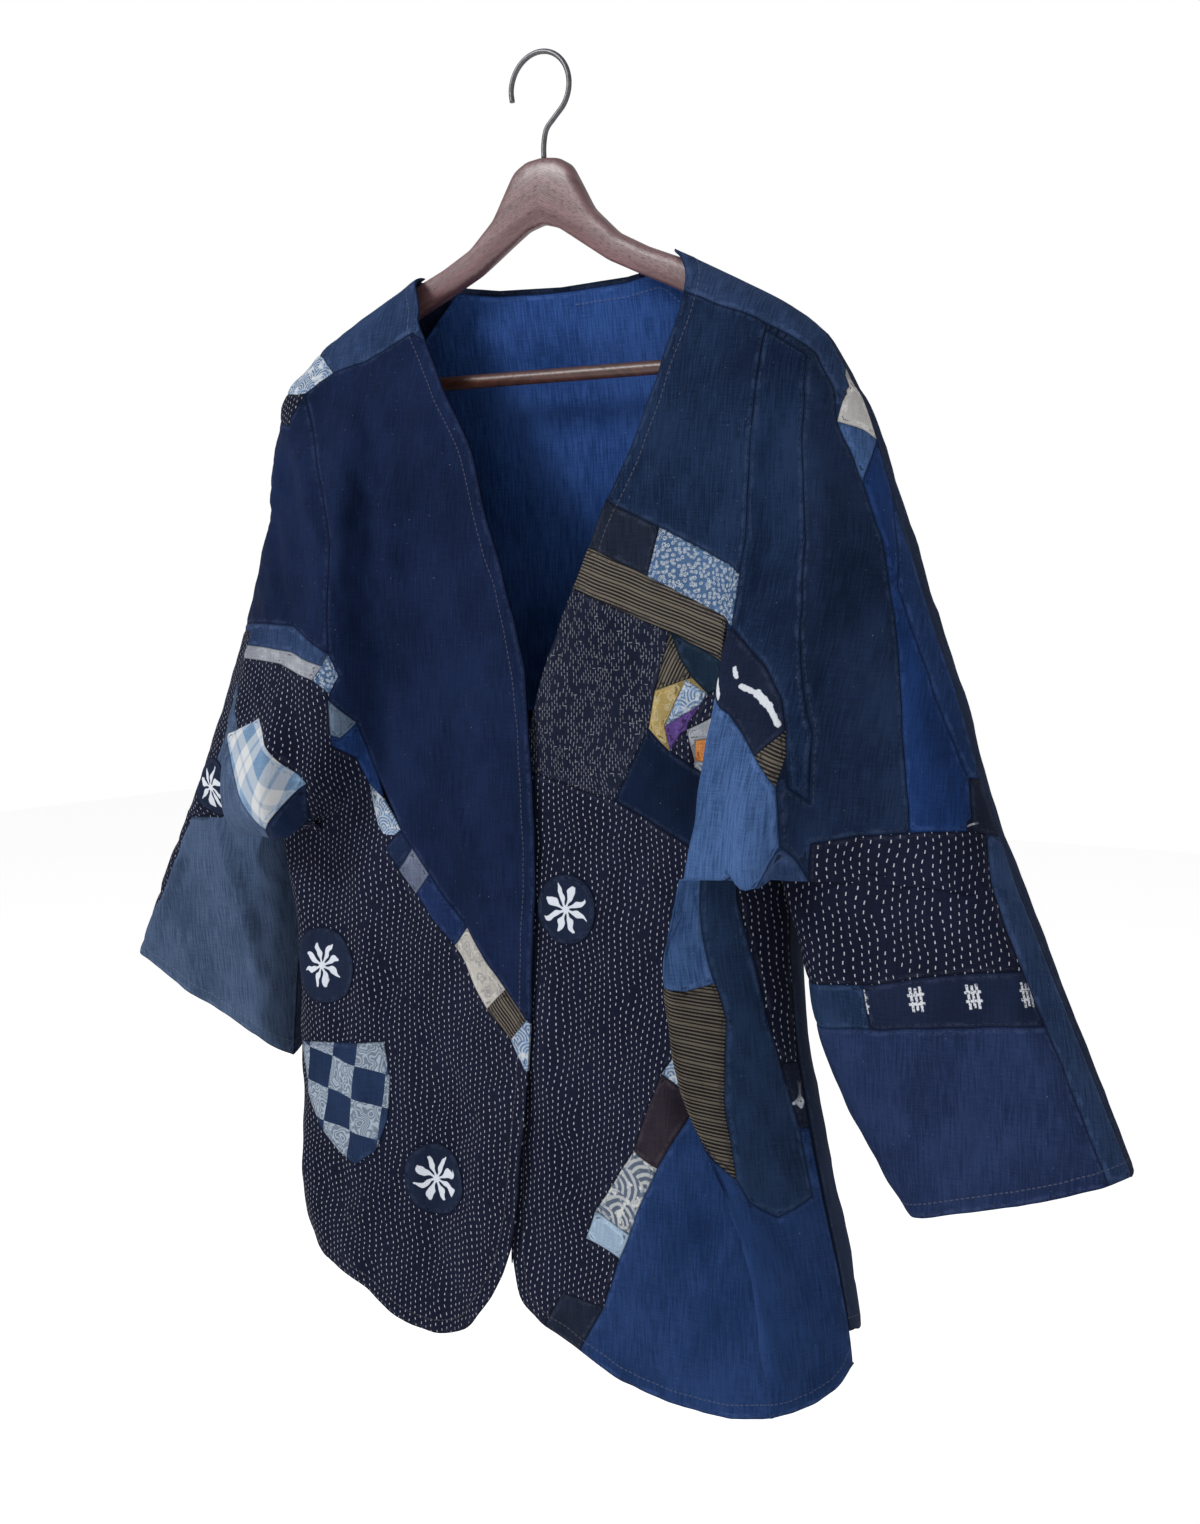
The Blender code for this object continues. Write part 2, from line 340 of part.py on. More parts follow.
class Sheet:
    """One stretch of cloth as a function of chart places."""

    def __init__(self, side, face, zone):
        self.side, self.face, self.zone = side, face, zone
        self.sign = 1.0 if side == "left" else -1.0
        self.facing = -1.0 if face == "front" else 1.0
        tables = {"upper": [(OUTER, 1)], "body": [(SIDE, 1)], "sleeve": [(OUTER, 1), (INNER, -1)]}[zone]
        self.edges = [self.flatten(table[side], out, table is not OUTER) for table, out in tables]

    def height(self, p, r):
        """Depth of the plain cloth at a chart place, from the body's to the sleeve's."""
        k = 1 if self.face == "front" else 3
        body, sleeve = column(DEPTH, r, k), column(DEPTH, r, k + 1)
        mix = smooth((p - SLEEVE_FROM) / SLEEVE_BLEND)
        if self.zone == "body":
            mix = mix * (1 - smooth((SPLIT[self.side] - r) / 0.06))
        if self.zone == "sleeve":
            mix = 1.0
        return body + (sleeve - body) * mix

    def crest(self, r):
        """Chart place, depth and take-up of the large fold at a height."""
        m, d, take = (column(CREST[self.side], r, k) for k in (1, 2, 3))
        if self.face == "back" or self.zone == "sleeve" or (self.zone, self.side) == ("body", "right"):
            d, take = 0.0 * d, 0.0 * take
        return m + take, np.maximum(d, 0.0), np.maximum(take, 0.0)

    def nose(self, p, r, narrow):
        """Width of a turned edge, and the length of cloth round it."""
        place, deep, take = self.crest(r)
        h = self.height(p, r) + deep * np.exp(-(np.maximum(p - place, 0.0) / FALL[self.side]) ** 2)
        w = NOSE * h
        if narrow:
            w = w * (0.20 + 0.80 * smooth((SPLIT[self.side] - r) / 0.08))
        return w, quarter(w, h)

    def flatten(self, rows, out, narrow):
        """The turned edge as a chart line: moved out by the cloth that goes round it."""
        a = curve(rows)
        z, m = a[:, 0], a[:, 1]
        along = np.gradient(a[:, ::-1], axis=0)
        along /= np.linalg.norm(along, axis=1)[:, None]
        outward = np.stack([-along[:, 1], along[:, 0]], 1) * out
        seam = np.stack([m + self.crest(z)[2], z], 1)
        line = seam
        for _ in range(6):
            w, arc = self.nose(line[:, 0], line[:, 1], narrow)
            line = seam + outward * (arc - w)[:, None]
        return line, -outward, narrow

    def inside(self, p, r, line, inward):
        """Distance in from a turned edge, and the direction in."""
        q = np.stack([p, r], -1)
        a, ab = line[:-1], line[1:] - line[:-1]
        t = np.clip(((q[:, None] - a) * ab).sum(-1) / (ab * ab).sum(-1), 0.0, 1.0)
        near = a + ab * t[..., None]
        i = np.linalg.norm(q[:, None] - near, axis=-1).argmin(1)
        k = np.arange(len(q))
        n = inward[:-1][i] * (1 - t[k, i, None]) + inward[1:][i] * t[k, i, None]
        n /= np.linalg.norm(n, axis=1)[:, None]
        return np.maximum(((q - near[k, i]) * n).sum(1), 0.0), n

    def folds(self, p, r):
        """Depth and drop that the soft folds and the underarm pouch add."""
        deep, drop = np.zeros_like(p), np.zeros_like(p)
        for side, face, p0, r0, p1, r1, d, half in SOFT_FOLDS:
            if (side, face) == (self.side, self.face) and self.zone != "sleeve":
                s = (r0 - r) / (r0 - r1)
                where = np.sin(np.pi * np.clip(s, 0, 1)) ** 0.7
                deep += d * where * np.exp(-((p - p0 - (p1 - p0) * s) / half) ** 2)
        if self.zone == "upper" and self.face == "front":
            p0, p1, d, fall = POUCH[self.side]
            s = r - SPLIT[self.side]
            window = smooth((p - p0) / 0.02) * smooth((p1 - p) / 0.02)
            deep += d * window * smooth((s + 0.006) / 0.034) * np.exp(-(np.maximum(s - 0.028, 0) / 0.05) ** 2)
            drop -= fall * window * smooth((s - 0.002) / 0.012) * (1 - smooth((s - 0.014) / 0.05))
        return deep, drop

    def at(self, p, r):
        """The cloth's place in space at chart places."""
        p, r = np.atleast_1d(np.asarray(p, float)), np.atleast_1d(np.asarray(r, float))
        place, deep, take = self.crest(r)
        wide = flank_width(deep)
        t = p - place
        rise = smooth((t + wide) / wide)
        more, drop = self.folds(p, r)
        y = self.height(p, r) + more + deep * rise * np.where(t > 0, np.exp(-(t / FALL[self.side]) ** 2), 1.0)
        m = p - take * rise
        z = r + drop
        for line, inward, narrow in self.edges:
            e, n = self.inside(p, r, line, inward)
            w, arc = self.nose(p, r, narrow)
            angle = np.pi / 2 * np.minimum(e / arc, 1.0)
            move = np.where(e < arc, (arc - w) + w * (1 - np.cos(angle)) - e, 0.0)
            m, z = m + n[:, 0] * move, z + n[:, 1] * move
            y = y * np.sin(angle)
        lap = 0.004 * (1 - smooth((p - 0.01) / 0.03)) * smooth((-0.36 - r) / 0.06)
        if self.face == "front":
            y = y + (lap if self.side == "right" else -0.5 * lap)
        return np.stack([self.sign * m, self.facing * y, z], 1)

    def normals(self, p, r):
        """Unit normals that point out of the garment."""
        d = 0.0015
        du = self.at(p + d, r) - self.at(p - d, r)
        dv = self.at(p, r + d) - self.at(p, r - d)
        n = np.cross(du, dv) * self.sign * -self.facing
        return n / np.maximum(np.linalg.norm(n, axis=1), 1e-12)[:, None]


def remove_all():
    """Empty the file."""
    for thing in list(bpy.data.objects):
        bpy.data.objects.remove(thing, do_unlink=True)


def material(name):
    """A plain material in the named colour."""
    mat = bpy.data.materials.get(name) or bpy.data.materials.new(name)
    mat.diffuse_color = (*COLOURS[name], 1.0)
    return mat


def add_solid(name, colour, verts, faces):
    """Make a closed body with its faces pointing out."""
    mesh = bpy.data.meshes.new(name)
    mesh.from_pydata([tuple(map(float, v)) for v in verts], [], [tuple(map(int, f)) for f in faces])
    bm = bmesh.new()
    bm.from_mesh(mesh)
    bmesh.ops.triangulate(bm, faces=[f for f in bm.faces if len(f.verts) > 4])
    bmesh.ops.recalc_face_normals(bm, faces=bm.faces)
    if bm.calc_volume(signed=True) < 0:
        bmesh.ops.reverse_faces(bm, faces=bm.faces)
    bm.to_mesh(mesh)
    bm.free()
    mesh.materials.append(material(colour))
    body = bpy.data.objects.new(name, mesh)
    bpy.context.scene.collection.objects.link(body)
    return body


def inside_polygon(q, polygon):
    """Whether each place lies inside the polygon."""
    a = np.asarray(polygon, float)
    b = np.roll(a, -1, axis=0)
    x, y = q[:, 0, None], q[:, 1, None]
    across = (a[:, 1] > y) != (b[:, 1] > y)
    rise = np.where(b[:, 1] == a[:, 1], 1.0, b[:, 1] - a[:, 1])
    return (across & (x < (b[:, 0] - a[:, 0]) * (y - a[:, 1]) / rise + a[:, 0])).sum(1) % 2 == 1


def distance_to_edges(q, a, b):
    """Distance from each place to the nearest of the edges a to b."""
    ab = b - a
    t = np.clip(((q[:, None] - a) * ab).sum(-1) / np.maximum((ab * ab).sum(-1), 1e-12), 0.0, 1.0)
    return np.linalg.norm(q[:, None] - (a + ab * t[..., None]), axis=-1).min(1)


def share_corners(polygons, near=0.003):
    """Bring corners that lie close together into one, and put them on the edges that they touch."""
    corners = []

    def settle(c):
        for k in corners:
            if np.hypot(k[0] - c[0], k[1] - c[1]) < near:
                return k
        corners.append(c)
        return c

    settled = [[settle(tuple(c)) for c in polygon] for polygon in polygons]
    known = np.array(corners)
    shared = []
    for polygon in settled:
        ring = []
        for a, b in zip(polygon, polygon[1:] + polygon[:1]):
            if a == b:
                continue
            ring.append(a)
            pa, pb = np.array(a), np.array(b)
            length = np.linalg.norm(pb - pa)
            along = (known - pa) @ (pb - pa) / length
            off = np.linalg.norm(known - pa - np.outer(along / length, pb - pa), axis=1)
            on = np.where((along > near) & (along < length - near) & (off < near))[0]
            ring += [corners[i] for i in on[np.argsort(along[on])]]
        shared.append(ring)
    return shared


def triangulate(points, edges):
    """Constrained triangulation; returns points, triangles and the edges as they came out."""
    verts, out_edges, faces, _, kept, _ = delaunay_2d_cdt(
        [Vector(map(float, p)) for p in points], [tuple(map(int, e)) for e in edges], [], 0, 1e-6, True)
    fixed = {tuple(sorted(e)) for e, source in zip(out_edges, kept) if source}
    return np.array([tuple(v) for v in verts]), np.array([tuple(f) for f in faces]), fixed


def edges_of(triangles):
    """The triangles on each edge."""
    users = {}
    for i, tri in enumerate(triangles):
        for a, b in ((tri[0], tri[1]), (tri[1], tri[2]), (tri[2], tri[0])):
            users.setdefault((min(a, b), max(a, b)), []).append(i)
    return users


def chart_mesh(domain, split, rows, guides, step):
    """Cut a chart into its pieces: returns points, triangles and the piece number of each triangle."""
    polygons = share_corners([domain] + [[(x * CM, y * CM) for x, y in row[-1]] for row in rows])
    lines = polygons + ([split] if split else [])
    points, edges = [], []
    for k, ring in enumerate(lines):
        start = len(points)
        points += ring
        count = len(ring)
        last = count if k < len(polygons) else count - 1
        edges += [(start + i, start + (i + 1) % count) for i in range(last)]
    verts, triangles, _ = triangulate(points, edges)

    def label(q, layers=("pieced", "applied")):
        found = np.full(len(q), -1)
        within = inside_polygon(q, polygons[0])
        upper = q[:, 1] > np.interp(q[:, 0], *np.array(split).T) if split else np.ones(len(q), bool)
        for number, (row, polygon) in enumerate(zip(rows, polygons[1:])):
            zone = row[1] if split else "both"
            if row[2] not in layers:
                continue
            allowed = {"upper": upper, "body": ~upper, "both": np.ones(len(q), bool)}[zone]
            found[within & allowed & inside_polygon(q, polygon)] = number
        return found

    labels = label(verts[triangles].mean(1))
    border = {}
    for edge, users in edges_of(triangles).items():
        sides = {labels[i] for i in users} | ({-1} if len(users) == 1 else set())
        if len(sides) > 1:
            border[edge] = True
    # Bring border points that lie close together into one, the busiest first
    degree = {}
    for a, b in border:
        degree[a] = degree.get(a, 0) + 1
        degree[b] = degree.get(b, 0) + 1
    order = sorted(degree, key=lambda i: (-(degree[i] > 2), i))
    kept, home = [], {}
    for i in order:
        close = [j for j in kept if np.linalg.norm(verts[j] - verts[i]) < 0.0028]
        home[i] = close[0] if close else i
        if not close:
            kept.append(i)
    points, index, edges = [], {}, set()
    for i in kept:
        index[i] = len(points)
        points.append(tuple(verts[i]))
    for a, b in sorted(border):
        a, b = index[home[a]], index[home[b]]
        if a != b:
            edges.add((min(a, b), max(a, b)))
    chain = []
    for a, b in sorted(edges):
        pa, pb = np.array(points[a]), np.array(points[b])
        count = max(int(np.ceil(np.linalg.norm(pb - pa) / EDGE_STEP)), 1)
        names = [a] + [len(points) + k for k in range(count - 1)] + [b]
        points += [tuple(pa + (pb - pa) * (k + 1) / count) for k in range(count - 1)]
        chain += list(zip(names[:-1], names[1:]))
    base = np.array(points)
    ends = np.array(chain)
    low, high = base.min(0), base.max(0)
    free = [tuple(g) for g in guides]
    for j, y in enumerate(np.arange(low[1], high[1], step * 0.87)):
        for x in np.arange(low[0] + (j % 2) * step / 2, high[0], step):
            free.append((x, y))
    free = np.array(free)
    free = free[label(free) >= 0]
    free = free[distance_to_edges(free, base[ends[:, 0]], base[ends[:, 1]]) > 0.0055]
    chosen = []
    for i, q in enumerate(free):
        reach = 0.0065 if i < len(guides) else 0.011
        if not chosen or np.linalg.norm(np.array(chosen) - q, axis=1).min() > reach:
            chosen.append(q)
    points += [tuple(q) for q in chosen]
    verts, triangles, fixed = triangulate(points, chain)
    # Each stretch between fixed edges takes the piece that covers most of it
    labels = label(verts[triangles].mean(1))
    under = label(verts[triangles].mean(1), ("pieced",))
    corners = verts[triangles]
    e1, e2 = corners[:, 1] - corners[:, 0], corners[:, 2] - corners[:, 0]
    area = np.abs(e1[:, 0] * e2[:, 1] - e1[:, 1] * e2[:, 0]) / 2
    users = edges_of(triangles)
    beside = [[] for _ in triangles]
    for edge, found in users.items():
        if len(found) == 2 and edge not in fixed:
            beside[found[0]].append(found[1])
            beside[found[1]].append(found[0])
    region = np.full(len(triangles), -1)
    names, sizes, grounds = [], [], []
    for i in range(len(triangles)):
        if region[i] >= 0:
            continue
        stack, members = [i], []
        region[i] = len(names)
        while stack:
            j = stack.pop()
            members.append(j)
            for k in beside[j]:
                if region[k] < 0:
                    region[k] = len(names)
                    stack.append(k)
        votes, below = {}, {}
        for j in members:
            votes[labels[j]] = votes.get(labels[j], 0.0) + area[j]
            below[under[j]] = below.get(under[j], 0.0) + area[j]
        names.append(max(votes, key=votes.get))
        grounds.append(max(below, key=below.get))
        sizes.append(sum(votes.values()))
    largest = {}
    for k, n in enumerate(names):
        if n >= 0 and sizes[k] > sizes[largest.get(n, k)] or n not in largest:
            largest[n] = k
    for _ in range(3):
        for k, n in enumerate(names):
            if n < 0 or largest[n] == k:
                continue
            touch = {}
            for edge, found in users.items():
                if len(found) == 2 and k in (region[found[0]], region[found[1]]):
                    other = region[found[0]] + region[found[1]] - k
                    if other != k and names[other] >= 0 and names[other] != n:
                        size = np.linalg.norm(verts[edge[0]] - verts[edge[1]])
                        touch[names[other]] = touch.get(names[other], 0.0) + size
            if touch:
                names[k] = max(touch, key=touch.get)
                grounds[k] = names[k]
    return verts, triangles, np.array(names)[region], np.array(grounds)[region]


def mesh_normals(verts, triangles, place, facing):
    """Normals of the whole chart's mesh at its points, so that neighbours share them at a seam."""
    spots = place(verts)
    corners = spots[triangles]
    across = np.cross(corners[:, 1] - corners[:, 0], corners[:, 2] - corners[:, 0])
    across /= np.maximum(np.linalg.norm(across, axis=1), 1e-15)[:, None]
    normals = np.zeros_like(spots)
    for k in range(3):
        u = corners[:, (k + 1) % 3] - corners[:, k]
        v = corners[:, (k + 2) % 3] - corners[:, k]
        turn = (u * v).sum(1) / np.maximum(np.linalg.norm(u, axis=1) * np.linalg.norm(v, axis=1), 1e-15)
        np.add.at(normals, triangles[:, k], across * np.arccos(np.clip(turn, -1.0, 1.0))[:, None])
    return facing * normals / np.maximum(np.linalg.norm(normals, axis=1), 1e-12)[:, None]


def wall(name, colour, verts, triangles, place, normals, face, inset, lift=0.0, thick=WALL):
    """Give a stretch of a chart its wall: the outer skin lifted off the cloth, the inner one under it."""
    used = np.unique(triangles)
    q = verts[used].copy()
    local = np.searchsorted(used, triangles)
    users = edges_of(local)
    ring = {}
    for i, tri in enumerate(local):
        for a, b in ((tri[0], tri[1]), (tri[1], tri[2]), (tri[2], tri[0])):
            if len(users[(min(a, b), max(a, b))]) == 1:
                ring[a] = b
    before = {b: a for a, b in ring.items()}
    moved = q.copy()
    for b, c in ring.items():
        a = before[b]
        u, v = q[b] - q[a], q[c] - q[b]
        u, v = u / np.linalg.norm(u), v / np.linalg.norm(v)
        nu, nv = np.array([-u[1], u[0]]), np.array([-v[1], v[0]])
        bisector = nu + nv
        size = max(float(bisector @ bisector) / 2, 0.35)
        moved[b] = q[b] + bisector / size * inset
    outer, normal = place(moved), normals[used]
    skins = np.vstack([outer + normal * lift, outer + normal * (lift - thick)])
    if face == "front":
        skins[:, 1] = np.minimum(skins[:, 1], -SEAM / 2)
    else:
        skins[:, 1] = np.maximum(skins[:, 1], SEAM / 2)
    n = len(q)
    faces = [tuple(t) for t in local] + [tuple(reversed([i + n for i in t])) for t in local]
    for a, b in ring.items():
        if tuple(q[a]) < tuple(q[b]):
            faces += [(a, a + n, b), (b, a + n, b + n)]
        else:
            faces += [(a, a + n, b + n), (a, b + n, b)]
    return add_solid(name, colour, skins, faces)


def placer(side, face, zone):
    """A function from chart places to places on the cloth."""
    sheets = {z: Sheet(side, face, z) for z in (("upper", "body") if zone == "both" else (zone,))}

    def place(q):
        p, r = q[:, 0], q[:, 1]
        if zone != "both":
            return sheets[zone].at(p, r)
        return np.where((r > SPLIT[side])[:, None], sheets["upper"].at(p, r), sheets["body"].at(p, r))

    return place


def dress(side, face, zone_names, verts, triangles):
    """For each zone of a chart: where its points lie, and its normals."""
    facing = 1.0 if (side == "left") == (face == "front") else -1.0
    above = verts[triangles].mean(1)[:, 1] > SPLIT[side]
    found = {}
    for zone in zone_names:
        part = {"upper": above, "body": ~above}.get(zone, np.ones(len(triangles), bool))
        place = placer(side, face, zone)
        found[zone] = place, mesh_normals(verts, triangles[part], place, facing)
    if "both" in found:
        pouch = (verts[:, 1] > SPLIT[side] - 1e-6) & (verts[:, 0] > POUCH_FROM)
        found["both"][1][pouch] = found["upper"][1][pouch]
    return found


def outline(side, face, zone, which=0):
    """The chart line of a turned edge."""
    return Sheet(side, face, zone).edges[which][0]


def cut_line(line, height, keep_above):
    """The part of a line from a height on, with an exact end at that height."""
    x = np.interp(height, line[::-1, 1], line[::-1, 0])
    part = line[line[:, 1] > height + 0.002] if keep_above else line[line[:, 1] < height - 0.002]
    end = [(x, height)]
    return [tuple(v) for v in part] + end if keep_above else end + [tuple(v) for v in part]


def trim(line, start, end):
    """Join a line between two free edges: cut where the end of each comes nearest."""
    a = np.linalg.norm(line - start, axis=1).argmin()
    b = np.linalg.norm(line - end, axis=1).argmin()
    return [tuple(v) for v in line[min(a, b) + 1:max(a, b)]]


def metres(rows):
    """Centimetre places in metres."""
    return [(x * CM, y * CM) for x, y in rows]


def meet(path, line):
    """Cut a free edge where it crosses a turned edge, or carry it there."""
    path = [np.array(v) for v in path]
    for i in range(len(path) - 1):
        a, b = path[i], path[i + 1]
        for c, d in zip(line[:-1], line[1:]):
            ab, cd = b - a, d - c
            det = ab[0] * -cd[1] + ab[1] * cd[0]
            if abs(det) < 1e-12:
                continue
            t = ((c - a)[0] * -cd[1] + (c - a)[1] * cd[0]) / det
            u = (ab[0] * (c - a)[1] - ab[1] * (c - a)[0]) / det
            if 0 <= t <= 1 and 0 <= u <= 1:
                return [tuple(v) for v in path[:i + 1]] + [tuple(a + ab * t)]
    return [tuple(v) for v in path] + [tuple(line[np.linalg.norm(line - path[-1], axis=1).argmin()])]


def main_domain(side, face):
    """Outline of the chart of one half of the front or back, without the lower sleeve."""
    split = SPLIT[side]
    shoulder = outline(side, face, "upper")
    flank = outline(side, face, "body")
    if face == "front":
        inner, hem = metres(LAPEL[side]), metres(HEM[side])
    else:
        inner, hem = [(0.0, BACK_NECK[0][1] * CM), (0.0, -0.32), (0.0, -0.50), (0.0, -0.66)], metres(BACK_HEM[side])
    hem = meet(hem, flank)
    end_side = [tuple(v) for v in flank if hem[-1][1] + 0.003 < v[1] < split - 0.003][::-1]
    side_top = (float(np.interp(split, flank[::-1, 1], flank[::-1, 0])), split)
    outer_foot = (float(np.interp(split, shoulder[::-1, 1], shoulder[::-1, 0])), split)
    arm = [tuple(v) for v in shoulder if v[1] > split + 0.003][::-1]
    neck = metres(BACK_NECK[1:]) if face == "back" else []
    ring = inner + hem + end_side + [side_top, outer_foot] + arm + neck[::-1]
    middle = (inner[0][0], split) if face == "back" else (min(x for x, _ in inner) - 0.01, split)
    return ring, [(middle[0] - 0.001, split), side_top, outer_foot]


def sleeve_domain(side, face):
    """Outline of the chart of a lower sleeve."""
    split = SPLIT[side] - SLEEVE_GAP
    outer, inner = outline(side, face, "sleeve", 0), outline(side, face, "sleeve", 1)
    cuff = meet(metres(CUFF[side]), outer)
    cuff = meet(cuff[::-1], inner)[::-1]
    top_out = (float(np.interp(split, outer[::-1, 1], outer[::-1, 0])), split)
    top_in = (float(np.interp(split, inner[::-1, 1], inner[::-1, 0])), split)
    right = [tuple(v) for v in outer if cuff[-1][1] + 0.003 < v[1] < split - 0.003][::-1]
    left = [tuple(v) for v in inner if cuff[0][1] + 0.003 < v[1] < split - 0.003]
    return [top_in] + left + cuff + right + [top_out]


def guide_points(side, face, zones):
    """Chart places that must carry points: crests, underarm pouches and turned edges."""
    found = []
    for zone in zones:
        sheet = Sheet(side, face, zone)
        low, high = (SPLIT[side], -0.13) if zone == "upper" else (-0.84, SPLIT[side])
        heights = np.arange(low + 0.006, high, 0.016)
        if face == "front" and zone != "sleeve":
            place, deep, _ = sheet.crest(heights)
            for t in (-1.0, -0.66, -0.33, 0.0):
                x = place + t * flank_width(deep)
                found += [(a, b) for a, b, d in zip(x, heights, deep) if d > 0.004]
            found += [(a + 0.014, b) for a, b, d in zip(place, heights, deep) if d > 0.004]
        if face == "front" and zone == "upper":
            p0, p1 = POUCH[side][:2]
            for s in (0.008, 0.017, 0.028, 0.042):
                found += [(x, SPLIT[side] + s) for x in np.arange(p0 - 0.02, p1 + 0.03, 0.014)]
        for line, inward, narrow in sheet.edges:
            arc = sheet.nose(line[:, 0], line[:, 1], narrow)[1]
            for share in ((0.12, 0.5, 0.85, 1.0) if face == "front" else (0.3, 0.8)):
                path = line + inward * (arc * share)[:, None]
                steps = np.r_[0, np.cumsum(np.linalg.norm(np.diff(path, axis=0), axis=1))]
                at = np.arange(0.008, steps[-1], 0.016 if face == "front" else 0.024)
                found += list(zip(np.interp(at, steps, path[:, 0]), np.interp(at, steps, path[:, 1])))
    return found


def sew_fronts():
    """The pieces of both fronts, and what is sewn on them."""
    for side in ("right", "left"):
        rows = FRONT_PIECES[side] + patches(side)
        ring, split = main_domain(side, "front")
        guides = guide_points(side, "front", ("upper", "body"))
        verts, triangles, labels, grounds = chart_mesh(ring, split, rows, guides, STEP)
        cloth = dress(side, "front", ("upper", "body", "both"), verts, triangles)
        for number, (name, zone, layer, colour, _) in enumerate(rows):
            if layer == "pieced":
                wall(name, colour, verts, triangles[grounds == number], *cloth[zone], "front", SEAM / 2)
            else:
                wall(name, colour, verts, triangles[labels == number], *cloth[zone], "front", 0.0,
                     LAYER_GAP + LAYER, LAYER)
        rows = [(name, "both", layer, colour, corners) for name, layer, colour, corners in SLEEVE_PIECES[side]]
        guides = guide_points(side, "front", ("sleeve",))
        verts, triangles, labels, _ = chart_mesh(sleeve_domain(side, "front"), None, rows, guides, STEP)
        cloth = dress(side, "front", ("sleeve",), verts, triangles)["sleeve"]
        for number, row in enumerate(rows):
            wall(row[0], row[3], verts, triangles[labels == number], *cloth, "front", SEAM / 2)


def patches(side):
    """Rows for the roundels and the pocket that are sewn on one front."""
    turn = np.linspace(0, 2 * np.pi, 17)[:-1]
    rows = [
        (name, zone, "applied", "roundel", [(x + wide * np.cos(t), y + high * np.sin(t)) for t in turn])
        for name, _, its_side, zone, x, y, wide, high in ROUNDELS if its_side == side
    ]
    if side == "right":
        rows.append(("pocket_right", "body", "applied", "pocket", POCKET))
    return rows


def sew_backs():
    """The plain back: two halves with a middle seam, and the backs of the lower sleeves."""
    whole = [(-10, 0), (60, 0), (60, -95), (-10, -95)]
    for side in ("right", "left"):
        ring, split = main_domain(side, "back")
        rows = [
            ("back_upper_" + side, "upper", "pieced", "back_cloth", whole),
            ("back_lower_" + side, "body", "pieced", "back_cloth", whole),
        ]
        guides = guide_points(side, "back", ("upper", "body"))
        verts, triangles, labels, _ = chart_mesh(ring, split, rows, guides, BACK_STEP)
        cloth = dress(side, "back", ("upper", "body"), verts, triangles)
        for number, row in enumerate(rows):
            wall(row[0], row[3], verts, triangles[labels == number], *cloth[row[1]], "back", SEAM / 2)
        rows = [("sleeve_back_" + side, "both", "pieced", "back_cloth", whole)]
        guides = guide_points(side, "back", ("sleeve",))
        verts, triangles, labels, _ = chart_mesh(sleeve_domain(side, "back"), None, rows, guides, BACK_STEP)
        cloth = dress(side, "back", ("sleeve",), verts, triangles)["sleeve"]
        wall(rows[0][0], "back_cloth", verts, triangles[labels == 0], *cloth, "back", SEAM / 2)


def sew_lining():
    """The bright lining inside the back, as far as the open neck shows it."""
    left, right = Sheet("left", "back", "upper"), Sheet("right", "back", "upper")

    def place(q):
        half = np.abs(q[:, 0])
        return np.where((q[:, 0] >= 0)[:, None], left.at(half, q[:, 1]), right.at(half, q[:, 1]))

    half = [(0.012, -0.145), (0.05, -0.1435), (0.08, -0.139), (0.118, -0.172), (0.145, -0.235), (0.145, -0.42)]
    ring = half[::-1] + [(-x, y) for x, y in half]
    row = [("lining_back", "both", "pieced", "lining", [(x / CM, y / CM) for x, y in ring])]
    verts, triangles, labels, _ = chart_mesh(ring, None, row, [], BACK_STEP)
    normals = mesh_normals(verts, triangles, place, -1.0)
    wall("lining_back", "lining", verts, triangles[labels == 0], place, normals, "back", 0.0, -WALL - LINING_GAP, 0.001)


def loft(name, colour, sections):
    """A closed body through rings of the same count, with flat ends."""
    count, size = len(sections), len(sections[0])
    faces = [tuple(range(size))[::-1], tuple((count - 1) * size + i for i in range(size))]
    for k in range(count - 1):
        for i in range(size):
            j = (i + 1) % size
            faces.append((k * size + i, k * size + j, (k + 1) * size + j, (k + 1) * size + i))
    return add_solid(name, colour, np.vstack(sections), faces)


